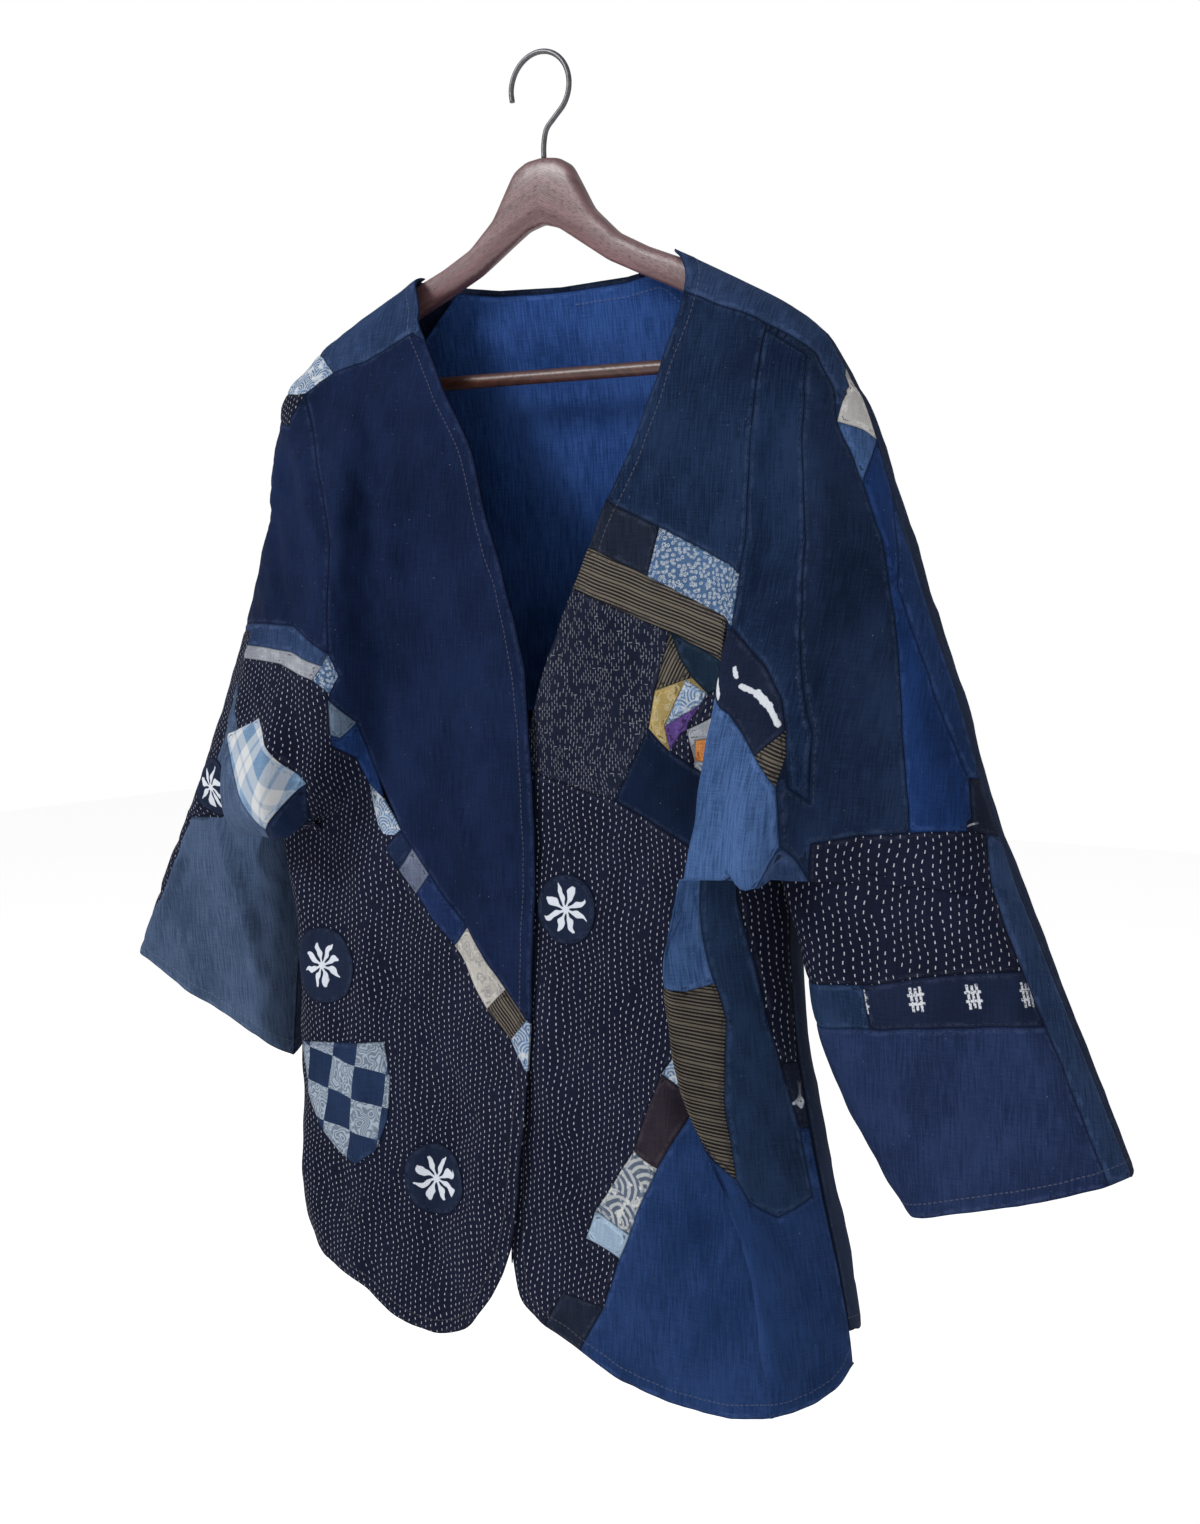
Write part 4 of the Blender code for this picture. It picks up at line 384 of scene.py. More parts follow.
SLEEVE_TRIMS = {
    "right": [
        ("cuff_edge_strip", "indigo_black",
         [(28.6, -48), (45, -48), (45, -58.0), (34.4, -57.9), (31.9, -55.8), (30.2, -52.7), (28.8, -50.5)]),
    ],
    "left": [("cuff_dark", "slate_green", [(16.5, -57.5), (24.1, -56.7), (24.6, -59.3), (17, -60)])],
}
EXTRA_ROUNDELS = [("roundel_sleeve", "right", "upper", 27.2, -47.6, 2.2, 2.2)]
# Creases: side, from (out, height), to (out, height), height of the ridge, half width, all in centimetres
CREASES = [
    ("right", (9, -20), (3, -30), 0.16, 0.7), ("right", (12, -22), (6, -40), 0.14, 0.8), ("right", (16, -24),
    (12.5, -36), -0.16, 0.7),
    ("right", (20, -24), (22, -34), 0.18, 0.9), ("right", (22.5, -27), (15.5, -38), -0.14, 0.7),
    ("right", (25.3, -50.0), (22.6, -61.4), 0.45, 0.6),
    ("right", (5, -45), (1, -57), 0.12, 0.8), ("right", (16, -55), (14, -72), 0.14, 0.9), ("right", (20, -54),
    (19, -70), -0.14, 0.8),
    ("right", (8, -60), (7, -80), 0.12, 0.9), ("right", (29, -52), (32, -60), -0.14, 0.7), ("left", (15, -20),
    (10, -33), 0.12, 0.8),
    ("left", (20, -22), (18, -35), -0.16, 0.7), ("left", (25.7, -58), (27, -68), 0.2, 0.6), ("left", (30, -57),
    (34, -66), 0.14, 0.8),
    ("left", (26, -30), (29, -46), 0.16, 0.8), ("left", (12, -62), (16, -80), 0.14, 0.9), ("left", (20, -72),
    (21, -82), 0.16, 0.9),
    ("left", (5, -50), (3, -70), 0.12, 0.8), ("left", (22, -66), (25, -80), -0.14, 0.8), ("left", (22, -40),
    (26, -46), -0.18, 0.7),
]


def smooth(t: np.ndarray) -> np.ndarray:
    """Ease from 0 to 1 as t goes from 0 to 1."""
    t = np.clip(t, 0.0, 1.0)
    return t * t * (3.0 - 2.0 * t)


def curve(rows: Sequence[Point], per: int = 8) -> np.ndarray:
    """Smooth curve through points.

    Args:
        rows: points on the curve.
        per: points to each span.

    Returns:
        The curve, a span's place worked out with the usual cubic through its four nearest points.
    """
    a = np.asarray(rows, float)
    a = np.vstack([2 * a[0] - a[1], a, 2 * a[-1] - a[-2]])
    t = np.arange(per)[:, None] / per
    spans = [
        0.5 * (2 * b + (c - z) * t + (2 * z - 5 * b + 4 * c - d) * t ** 2 + (3 * b - z - 3 * c + d) * t ** 3)
        for z, b, c, d in zip(a[:-3], a[1:-2], a[2:-1], a[3:])
    ]
    return np.vstack(spans + [a[-2:-1]])


def column(rows: Sequence[tuple[float, ...]], z: np.ndarray, k: int) -> np.ndarray:
    """Column k of a table whose first column is the height, with a smooth curve between its rows."""
    a = np.asarray(rows, float)
    x, v = a[:, 0], a[:, k]
    slope = np.gradient(v, x)
    i = np.clip(np.searchsorted(x, z) - 1, 0, len(x) - 2)
    h = x[i + 1] - x[i]
    t = np.clip((z - x[i]) / h, 0.0, 1.0)
    return ((1 + 2 * t) * (1 - t) ** 2 * v[i] + t * (1 - t) ** 2 * h * slope[i]
            + t * t * (3 - 2 * t) * v[i + 1] + t * t * (t - 1) * h * slope[i + 1])


def quarter(w: np.ndarray, h: np.ndarray) -> np.ndarray:
    """Length of a quarter of an ellipse with half axes w and h."""
    return np.pi / 4 * (3 * (w + h) - np.sqrt((3 * w + h) * (w + 3 * h)))


def metres(rows: Sequence[Point]) -> list[Point]:
    """Centimetre places in metres."""
    return [(x * CM, y * CM) for x, y in rows]


def flank_width(deep: np.ndarray) -> np.ndarray:
    """How much cloth the steep side of a large fold takes."""
    return np.maximum(1.55 * deep + 0.005, 0.012)


class Sheet:
    """One stretch of cloth as a function of flat chart places (p out from the middle, r the height)."""

    def __init__(self, side: str, face: str, zone: str) -> None:
        """Set the stretch by its side, its face (front or back) and its zone (upper, body or sleeve)."""
        self.side, self.face, self.zone = side, face, zone
        self.sign = 1.0 if side == "left" else -1.0
        self.facing = -1.0 if face == "front" else 1.0
        tables = {"upper": [(OUTER, 1)], "body": [(SIDE, 1)], "sleeve": [(OUTER, 1), (INNER, -1)]}[zone]
        self.edges = [self.flatten(table[side], out, table is not OUTER) for table, out in tables]

    def height(self, p: np.ndarray, r: np.ndarray) -> np.ndarray:
        """Depth of the plain cloth at chart places, from the body's to the sleeve's."""
        k = 1 if self.face == "front" else 3
        body, sleeve = column(DEPTH, r, k), column(DEPTH, r, k + 1)
        mix = smooth((p - SLEEVE_FROM) / SLEEVE_BLEND)
        if self.zone == "body":
            mix = mix * (1 - smooth((SPLIT[self.side] - r) / 0.06))
        if self.zone == "sleeve":
            mix = 1.0
        return body + (sleeve - body) * mix

    def crest(self, r: np.ndarray) -> tuple[np.ndarray, np.ndarray, np.ndarray]:
        """Chart place, depth and take-up of the large fold at heights."""
        low = np.maximum(r, SPLIT[self.side] + 0.012) if self.zone == "upper" else r
        m, d = column(CREST[self.side], r, 1), column(CREST[self.side], r, 2)
        take = column(CREST[self.side], low, 3)
        if self.face == "back" or self.zone == "sleeve" or (self.zone, self.side) == ("body", "right"):
            d, take = 0.0 * d, 0.0 * take
        return m + take, np.maximum(d, 0.0), np.maximum(take, 0.0)

    def carried(self, p: np.ndarray, r: np.ndarray) -> np.ndarray:
        """Depth that a lower sleeve takes over from the sleeve above it, dying away over 90 mm."""
        top = np.full_like(r, SPLIT[self.side] + 0.001)
        m, d = (column(CREST[self.side], top, k) for k in (1, 2))
        bell = np.exp(-(np.maximum(p - m, 0.0) / FALL[self.side]) ** 2)
        return np.maximum(d, 0) * bell * (1 - smooth((SPLIT[self.side] - r) / 0.09)) * smooth((p - 0.20) / 0.03)

    def nose(self, p: np.ndarray, r: np.ndarray, narrow: bool) -> tuple[np.ndarray, np.ndarray]:
        """Width of a turned edge, and the length of cloth round it."""
        place, deep, _ = self.crest(r)
        h = self.height(p, r) + deep * np.exp(-(np.maximum(p - place, 0.0) / FALL[self.side]) ** 2)
        w = NOSE * h
        if narrow:
            w = w * (0.20 + 0.80 * smooth((SPLIT[self.side] - r) / 0.08))
        return w, quarter(w, h)

    def flatten(self, rows: Sequence[Point], out: int, narrow: bool) -> tuple[np.ndarray, np.ndarray, bool]:
        """The turned edge as a chart line, moved out by the cloth that goes round it."""
        a = curve(rows)
        z, m = a[:, 0], a[:, 1]
        along = np.gradient(a[:, ::-1], axis=0)
        along /= np.linalg.norm(along, axis=1)[:, None]
        outward = np.stack([-along[:, 1], along[:, 0]], 1) * out
        seam = np.stack([m + self.crest(z)[2], z], 1)
        line = seam
        for _ in range(6):
            w, arc = self.nose(line[:, 0], line[:, 1], narrow)
            line = seam + outward * (arc - w)[:, None]
        return line, -outward, narrow

    def inside(self, p: np.ndarray, r: np.ndarray, line: np.ndarray,
               inward: np.ndarray) -> tuple[np.ndarray, np.ndarray]:
        """Distance in from a turned edge, and the direction in."""
        q = np.stack([p, r], -1)
        a, ab = line[:-1], line[1:] - line[:-1]
        t = np.clip(((q[:, None] - a) * ab).sum(-1) / (ab * ab).sum(-1), 0.0, 1.0)
        near = a + ab * t[..., None]
        i = np.linalg.norm(q[:, None] - near, axis=-1).argmin(1)
        k = np.arange(len(q))
        n = inward[:-1][i] * (1 - t[k, i, None]) + inward[1:][i] * t[k, i, None]
        n /= np.linalg.norm(n, axis=1)[:, None]
        return np.maximum(((q - near[k, i]) * n).sum(1), 0.0), n

    def folds(self, p: np.ndarray, r: np.ndarray) -> tuple[np.ndarray, np.ndarray]:
        """Depth and drop that the soft folds and the underarm pouch add.

        Args:
            p: chart places out from the middle.
            r: chart heights.

        Returns:
            Depth: for each soft fold its depth times an arch along it and a bell across it, and for the pouch a
            window across times an eased rise above the split that dies away upwards; drop: the pouch's cloth let
            down near the split.
        """
        deep, drop = np.zeros_like(p), np.zeros_like(p)
        for side, face, p0, r0, p1, r1, d, half in SOFT_FOLDS:
            if (side, face) == (self.side, self.face) and self.zone != "sleeve":
                s = (r0 - r) / (r0 - r1)
                where = np.sin(np.pi * np.clip(s, 0, 1)) ** 0.7
                deep += d * where * np.exp(-((p - p0 - (p1 - p0) * s) / half) ** 2)
        if self.zone == "upper" and self.face == "front":
            p0, p1, d, fall = POUCH[self.side]
            s = r - SPLIT[self.side]
            window = smooth((p - p0) / 0.02) * smooth((p1 - p) / 0.02)
            deep += d * window * smooth((s + 0.006) / 0.034) * np.exp(-(np.maximum(s - 0.028, 0) / 0.05) ** 2)
            drop -= fall * window * smooth((s - 0.002) / 0.012) * (1 - smooth((s - 0.014) / 0.05))
        return deep, drop

    def at(self, p: np.ndarray, r: np.ndarray) -> np.ndarray:
        """The cloth's place in space.

        Args:
            p: chart places out from the middle.
            r: chart heights.

        Returns:
            Across, depth and height: the plain depth plus folds and crest, drawn in by the crest's take-up, and near
            each turned edge carried round a quarter of an ellipse; the right lapel lies over the left.
        """
        place, deep, take = self.crest(r)
        wide = flank_width(deep)
        t = p - place
        rise = smooth((t + wide) / wide)
        more, drop = self.folds(p, r)
        y = self.height(p, r) + more + deep * rise * np.where(t > 0, np.exp(-(t / FALL[self.side]) ** 2), 1.0)
        if self.zone == "sleeve" and self.face == "front":
            y = y + self.carried(p, r) - 0.0012 * smooth((r - SPLIT[self.side] + 0.02) / 0.02)
        m = p - take * rise
        z = r + drop
        for line, inward, narrow in self.edges:
            e, n = self.inside(p, r, line, inward)
            w, arc = self.nose(p, r, narrow)
            angle = np.pi / 2 * np.minimum(e / arc, 1.0)
            move = np.where(e < arc, (arc - w) + w * (1 - np.cos(angle)) - e, 0.0)
            m, z = m + n[:, 0] * move, z + n[:, 1] * move
            y = y * np.sin(angle)
        lap = 0.004 * (1 - smooth((p - 0.01) / 0.03)) * smooth((-0.36 - r) / 0.06)
        if self.face == "front":
            y = y + (lap if self.side == "right" else -0.5 * lap)
        return np.stack([self.sign * m, self.facing * y, z], 1)


class Chart:
    """The flat chart of one stretch: its outline, and where its points lie in space."""

    def __init__(self, side: str, face: str, zones: tuple[str, ...]) -> None:
        """Work out the outline of the main stretch (upper and body) or of a lower sleeve."""
        self.side, self.face, self.zones = side, face, zones
        self.sheets = {zone: Sheet(side, face, zone) for zone in zones}
        self.ring, self.split, self.free = self.sleeve_outline() if zones == ("sleeve",) else self.main_outline()

    @staticmethod
    def meet(path: Sequence[Point], line: np.ndarray) -> list[Point]:
        """Cut a free edge where it crosses a turned edge, or carry it there.

        Args:
            path: the free edge, from its inner end.
            line: the turned edge.

        Returns:
            The free edge, ending on the turned edge.
        """
        path = [np.array(v) for v in path]
        for i in range(len(path) - 1):
            a, b = path[i], path[i + 1]
            for c, d in zip(line[:-1], line[1:]):
                ab, cd = b - a, d - c
                det = ab[0] * -cd[1] + ab[1] * cd[0]
                if abs(det) < 1e-12:
                    continue
                t = ((c - a)[0] * -cd[1] + (c - a)[1] * cd[0]) / det
                u = (ab[0] * (c - a)[1] - ab[1] * (c - a)[0]) / det
                if 0 <= t <= 1 and 0 <= u <= 1:
                    return [tuple(v) for v in path[:i + 1]] + [tuple(a + ab * t)]
        return [tuple(v) for v in path] + [tuple(line[np.linalg.norm(line - path[-1], axis=1).argmin()])]

    @staticmethod
    def on_line(line: np.ndarray, height: float) -> Point:
        """The place on a turned edge at a height."""
        return float(np.interp(height, line[::-1, 1], line[::-1, 0])), height

    def main_outline(self) -> tuple[list[Point], float, list[list[Point]]]:
        """Outline, dividing height and free edges of one half of the front or back."""
        side, split = self.side, SPLIT[self.side]
        shoulder, flank = self.sheets["upper"].edges[0][0], self.sheets["body"].edges[0][0]
        if self.face == "front":
            inner, hem = metres(LAPEL[side]), metres(HEM[side])
        else:
            inner = [(0.0, BACK_NECK[0][1] * CM), (0.0, -0.32), (0.0, -0.50), (0.0, -0.66)]
            hem = metres(BACK_HEM[side])
        hem = self.meet(hem, flank)
        front = self.face == "front"
        edge = [tuple(v) for v in curve(inner + hem, 5)] if front else inner + [tuple(v) for v in curve(hem, 4)]
        end_side = [tuple(v) for v in flank if hem[-1][1] + 0.003 < v[1] < split - 0.003][::-1]
        arm = [tuple(v) for v in shoulder if v[1] > split + 0.003][::-1]
        neck = metres(BACK_NECK[1:]) if self.face == "back" else []
        ring = edge + end_side + [self.on_line(flank, split), self.on_line(shoulder, split)] + arm + neck[::-1]
        free = [edge] if front else [[tuple(v) for v in curve(hem, 4)], metres(BACK_NECK)]
        return ring, split, free

    def sleeve_outline(self) -> tuple[list[Point], Optional[float], list[list[Point]]]:
        """Outline and free edge of a lower sleeve."""
        split = SPLIT[self.side] + SLEEVE_LAP
        outer, inner = self.sheets["sleeve"].edges[0][0], self.sheets["sleeve"].edges[1][0]
        cuff = self.meet(self.meet(metres(CUFF[self.side]), outer)[::-1], inner)[::-1]
        right = [tuple(v) for v in outer if cuff[-1][1] + 0.003 < v[1] < split - 0.003][::-1]
        left = [tuple(v) for v in inner if cuff[0][1] + 0.003 < v[1] < split - 0.003]
        edge = [tuple(v) for v in curve(cuff, 4)]
        return [self.on_line(inner, split)] + left + edge + right + [self.on_line(outer, split)], None, [edge]

    def place(self, q: np.ndarray, zone: str) -> np.ndarray:
        """Where chart places lie in space.

        Args:
            q: chart places.
            zone: upper, body or sleeve; both takes the upper cloth above the dividing height and the body's below.

        Returns:
            Their places in space.
        """
        p, r = q[:, 0], q[:, 1]
        if zone != "both":
            return self.sheets[zone].at(p, r)
        above = (r > SPLIT[self.side])[:, None]
        return np.where(above, self.sheets["upper"].at(p, r), self.sheets["body"].at(p, r))


@dataclass(frozen=True)
class Patch:
    """One piece to cut from a chart: its zone, its cloth, its corners and how it is sewn."""

    name: str
    zone: str
    cloth: str
    ring: tuple[Point, ...]
    nodes: tuple[str, ...] = ()
    layer: str = "pieced"


def inside_polygon(q: np.ndarray, polygon: Sequence[Point]) -> np.ndarray:
    """Which places lie inside a polygon.

    Args:
        q: places.
        polygon: its corners.

    Returns:
        True where a level line from the place crosses an odd number of the polygon's edges.
    """
    a = np.asarray(polygon, float)
    b = np.roll(a, -1, axis=0)
    x, y = q[:, 0, None], q[:, 1, None]
    across = (a[:, 1] > y) != (b[:, 1] > y)
    rise = np.where(b[:, 1] == a[:, 1], 1.0, b[:, 1] - a[:, 1])
    return (across & (x < (b[:, 0] - a[:, 0]) * (y - a[:, 1]) / rise + a[:, 0])).sum(1) % 2 == 1


def nearest_edge(q: np.ndarray, a: np.ndarray, b: np.ndarray) -> tuple[np.ndarray, np.ndarray, np.ndarray]:
    """The nearest edge to each place, worked out 2000 places at a time to keep memory low.

    Args:
        q: places.
        a: where each edge starts.
        b: where each edge ends.

    Returns:
        The distance, which edge it is, and how far along that edge, from 0 to 1.
    """
    best = np.full(len(q), np.inf)
    which, along = np.zeros(len(q), int), np.zeros(len(q))
    for start in range(0, len(q), 2000):
        part = q[start:start + 2000, None]
        ab = b - a
        t = np.clip(((part - a) * ab).sum(-1) / np.maximum((ab * ab).sum(-1), 1e-12), 0.0, 1.0)
        gap = np.linalg.norm(part - (a + ab * t[..., None]), axis=-1)
        i = gap.argmin(1)
        k = np.arange(len(i))
        best[start:start + 2000], which[start:start + 2000], along[start:start + 2000] = gap[k, i], i, t[k, i]
    return best, which, along


def triangulate(points: Sequence[Point], edges: Sequence[tuple[int, int]]) -> tuple[np.ndarray, np.ndarray]:
    """Triangles over points that keep every edge.

    Args:
        points: chart places.
        edges: pairs of points that the triangles must keep.

    Returns:
        The places, with those where edges cross added, and three of them for each triangle.
    """
    cdt = delaunay_2d_cdt([Vector(map(float, v)) for v in points], edges, [], 0, 1e-6, False)
    return np.array([tuple(v) for v in cdt[0]]), np.array([tuple(f) for f in cdt[2]])


class Cutter:
    """Cuts the patches of one chart out of a fine triangulation, all sharing their border points."""

    def __init__(self, chart: Chart, patches: Sequence[Patch], step: float) -> None:
        """Triangulate the chart with every patch's outline kept.

        Args:
            chart: the chart to cut.
            patches: its pieces; where two cover a place, the later one has it.
            step: the size of a triangle.
        """
        self.chart, self.patches = chart, list(patches)
        polygons = self.share_corners([chart.ring] + [list(p.ring) for p in patches])
        self.outline, self.rings = polygons[0], polygons[1:]
        lines = [(ring, True) for ring in polygons]
        if chart.split is not None:
            xs = [x for x, _ in chart.ring]
            lines.append(([(min(xs) - 0.01, chart.split), (max(xs) + 0.01, chart.split)], False))
        points, edges = [], []
        for ring, closed in lines:
            for a, b in zip(ring, ring[1:] + ring[:1] if closed else ring[1:]):
                count = max(int(np.ceil(np.hypot(b[0] - a[0], b[1] - a[1]) / step)), 1)
                low, high = (a, b) if a < b else (b, a)
                t = np.linspace(0, 1, count + 1)[:, None]
                run = np.array(low) * (1 - t) + np.array(high) * t
                base = len(points)
                points += [tuple(v) for v in run]
                edges += [(base + i, base + i + 1) for i in range(count)]
        ends = np.array(points)
        pairs = np.array(edges)
        low, high = ends.min(0), ends.max(0)
        rows = np.arange(low[1], high[1], step * 0.87)
        x, y = np.meshgrid(np.arange(low[0], high[0], step), rows)
        x = x + (np.arange(len(rows)) % 2)[:, None] * step / 2
        grid = np.stack([x.ravel(), y.ravel()], 1)
        grid = grid[inside_polygon(grid, self.outline)]
        grid = grid[nearest_edge(grid, ends[pairs[:, 0]], ends[pairs[:, 1]])[0] > step * 0.42]
        self.verts, self.triangles = triangulate(points + [tuple(g) for g in grid], edges)
        self.middle = self.verts[self.triangles].mean(1)
        self.labels, self.grounds = self.label(("pieced", "applied")), self.label(("pieced",))

    @staticmethod
    def share_corners(polygons: list[list[Point]], near: float = 0.003) -> list[list[Point]]:
        """Bring corners that lie close together into one, and put them on the edges that they touch."""
        corners: list[Point] = list(polygons[0])

        def settle(c: Point) -> Point:
            """The corner already known near a corner, or itself."""
            gap = np.linalg.norm(np.array(corners) - c, axis=1)
            if gap.min() < near:
                return corners[int(gap.argmin())]
            corners.append(c)
            return c

        settled = [polygons[0]] + [[settle(tuple(c)) for c in polygon] for polygon in polygons[1:]]
        known = np.array(corners)
        shared = []
        for polygon in settled:
            ring = []
            for a, b in zip(polygon, polygon[1:] + polygon[:1]):
                if a == b:
                    continue
                ring.append(a)
                pa, pb = np.array(a), np.array(b)
                length = np.linalg.norm(pb - pa)
                along = (known - pa) @ (pb - pa) / length
                off = np.linalg.norm(known - pa - np.outer(along / length, pb - pa), axis=1)
                on = np.where((along > near) & (along < length - near) & (off < near * 0.7))[0]
                if polygon is not settled[0]:
                    ring += [corners[i] for i in on[np.argsort(along[on])]]
            shared.append(ring)
        return shared

    def label(self, layers: tuple[str, ...]) -> np.ndarray:
        """Which patch each triangle belongs to.

        Args:
            layers: the layers to look at.

        Returns:
            The number of the last patch that covers the triangle's middle, or -1.
        """
        found = np.full(len(self.middle), -1)
        within = inside_polygon(self.middle, self.outline)
        split = self.chart.split
        above = self.middle[:, 1] > (-9.0 if split is None else split)
        for number, (patch, ring) in enumerate(zip(self.patches, self.rings)):
            if patch.layer in layers:
                zone = "both" if split is None else patch.zone
                allowed = {"upper": above, "body": ~above, "both": np.ones_like(above)}[zone]
                found[within & allowed & inside_polygon(self.middle, ring)] = number
        return found


def relief(side: str, q: np.ndarray) -> np.ndarray:
    """Height of the small waves and creases at chart places.

    Args:
        side: the side of the garment.
        q: chart places.

    Returns:
        Metres out of the cloth: a sum of WAVE_COUNT sine waves from WAVE_SHORT to WAVE_LONG long in spread
        directions, each as high as WAVE_SHARE of its length, plus for each crease CREASE_GAIN times its height times
        a bell across it and an arch along it, the ridge itself bowed by a slow sine.
    """
    rng = np.random.default_rng(7 if side == "left" else 11)
    total = np.zeros(len(q))
    for length in np.geomspace(WAVE_SHORT, WAVE_LONG, WAVE_COUNT):
        angle, phase = rng.uniform(-0.9, 0.9), rng.uniform(0, 2 * np.pi)
        total += WAVE_SHARE * length * np.sin((q @ [np.cos(angle), np.sin(angle)]) * 2 * np.pi / length + phase)
    for its_side, a, b, high, half in CREASES:
        if its_side == side:
            a, ab = np.array(a) * CM, (np.array(b) - a) * CM
            t = (q - a) @ ab / (ab @ ab)
            across = (q - a) @ [-ab[1], ab[0]] / np.linalg.norm(ab)
            bow = 0.004 * np.sin(t * 5.0 + high * 40)
            bell, arch = np.exp(-((across + bow) / (half * CM)) ** 2), np.sin(np.pi * np.clip(t, 0, 1)) ** 0.6
            total += CREASE_GAIN * high * CM * bell * arch
    return total


def normals_of(spots: np.ndarray, triangles: np.ndarray, facing: float) -> np.ndarray:
    """Normal at each point: the sum of its triangles' unit normals, each weighted by the triangle's angle there."""
    corners = spots[triangles]
    across = np.cross(corners[:, 1] - corners[:, 0], corners[:, 2] - corners[:, 0])
    across /= np.maximum(np.linalg.norm(across, axis=1), 1e-15)[:, None]
    normals = np.zeros_like(spots)
    for k in range(3):
        u = corners[:, (k + 1) % 3] - corners[:, k]
        v = corners[:, (k + 2) % 3] - corners[:, k]
        turn = (u * v).sum(1) / np.maximum(np.linalg.norm(u, axis=1) * np.linalg.norm(v, axis=1), 1e-15)
        np.add.at(normals, triangles[:, k], across * np.arccos(np.clip(turn, -1.0, 1.0))[:, None])
    return facing * normals / np.maximum(np.linalg.norm(normals, axis=1), 1e-12)[:, None]


def border_of(triangles: np.ndarray) -> np.ndarray:
    """The directed edges that only one triangle uses."""
    directed = np.vstack([triangles[:, [0, 1]], triangles[:, [1, 2]], triangles[:, [2, 0]]])
    key = np.sort(directed, axis=1) @ [1, triangles.max() + 1]
    _, where, count = np.unique(key, return_inverse=True, return_counts=True)
    return directed[count[where] == 1]


@dataclass
class Surface:
    """A numpy surface: points, faces and what its materials read."""

    verts: np.ndarray
    faces: np.ndarray
    sharp: np.ndarray = field(default_factory=lambda: np.zeros((0, 2), int))
    maps: dict[str, np.ndarray] = field(default_factory=dict)

    def place(self, name: str, material: bpy.types.Material) -> bpy.types.Object:
        """Make the object.

        Args:
            name: its name.
            material: what it is made of.

        Returns:
            The object at the origin, its mesh put in as whole arrays, each map stored once for each face corner.
        """
        mesh = bpy.data.meshes.new(name)
        count, size = self.faces.shape
        mesh.vertices.add(len(self.verts))
        mesh.vertices.foreach_set("co", self.verts.astype(np.float32).ravel())
        mesh.loops.add(count * size)
        mesh.loops.foreach_set("vertex_index", self.faces.astype(np.int32).ravel())
        mesh.polygons.add(count)
        mesh.polygons.foreach_set("loop_start", np.arange(0, count * size, size, dtype=np.int32))
        mesh.update(calc_edges=True)
        mesh.validate()
        mesh.polygons.foreach_set("use_smooth", np.ones(len(mesh.polygons), bool))
        if len(self.sharp):
            ends = np.empty(len(mesh.edges) * 2, np.int32)
            mesh.edges.foreach_get("vertices", ends)
            weigh = np.array([1, len(self.verts)])
            flags = np.isin(np.sort(ends.reshape(-1, 2), axis=1) @ weigh, np.sort(self.sharp, axis=1) @ weigh)
            mesh.attributes.new("sharp_edge", "BOOLEAN", "EDGE").data.foreach_set("value", flags)
        corner = np.empty(len(mesh.loops), np.int32)
        mesh.loops.foreach_get("vertex_index", corner)
        for title, values in self.maps.items():
            mesh.uv_layers.new(name=title).data.foreach_set("uv", values[corner].astype(np.float32).ravel())
        mesh.materials.append(material)
        piece = bpy.data.objects.new(name, mesh)
        bpy.context.scene.collection.objects.link(piece)
        return piece


class Wire:
    """A value in a material, with arithmetic."""

    def __init__(self, graph: "Graph", socket: bpy.types.NodeSocket) -> None:
        """Wrap an output socket of a graph."""
        self.graph, self.socket = graph, socket

    def math(self, operation: str, *others: "Value") -> "Wire":
        """This value through a Math node with others."""
        made = self.graph.node("ShaderNodeMath", {"operation": operation}, dict(enumerate((self,) + others)))
        return Wire(self.graph, made.outputs[0])

    def __add__(self, other: "Value") -> "Wire":
        """Sum."""
        return self.math("ADD", other)

    def __sub__(self, other: "Value") -> "Wire":
        """Difference."""
        return self.math("SUBTRACT", other)

    def __mul__(self, other: "Value") -> "Wire":
        """Product."""
        return self.math("MULTIPLY", other)

    def __truediv__(self, other: "Value") -> "Wire":
        """Quotient."""
        return self.math("DIVIDE", other)

    def __rsub__(self, other: float) -> "Wire":
        """A number less this value."""
        return self.math("MULTIPLY", -1.0).math("ADD", other)

    def __rtruediv__(self, other: float) -> "Wire":
        """A number over this value."""
        return self.math("POWER", -1.0).math("MULTIPLY", other)

    __radd__, __rmul__ = __add__, __mul__

    def __abs__(self) -> "Wire":
        """Size without sign."""
        return self.math("ABSOLUTE")

    def floor(self) -> "Wire":
        """Whole part."""
        return self.math("FLOOR")

    def part(self) -> "Wire":
        """Fraction left over."""
        return self.math("FRACT")

    def sin(self) -> "Wire":
        """Sine."""
        return self.math("SINE")

    def ramp(self, low: float, high: float) -> "Wire":
        """0 below low to 1 above high, eased; low above high turns it round."""
        made = self.graph.node("ShaderNodeMapRange", {"interpolation_type": "SMOOTHSTEP"}, {0: self, 1: low, 2: high})
        return Wire(self.graph, made.outputs[0])


Value = Wire | float


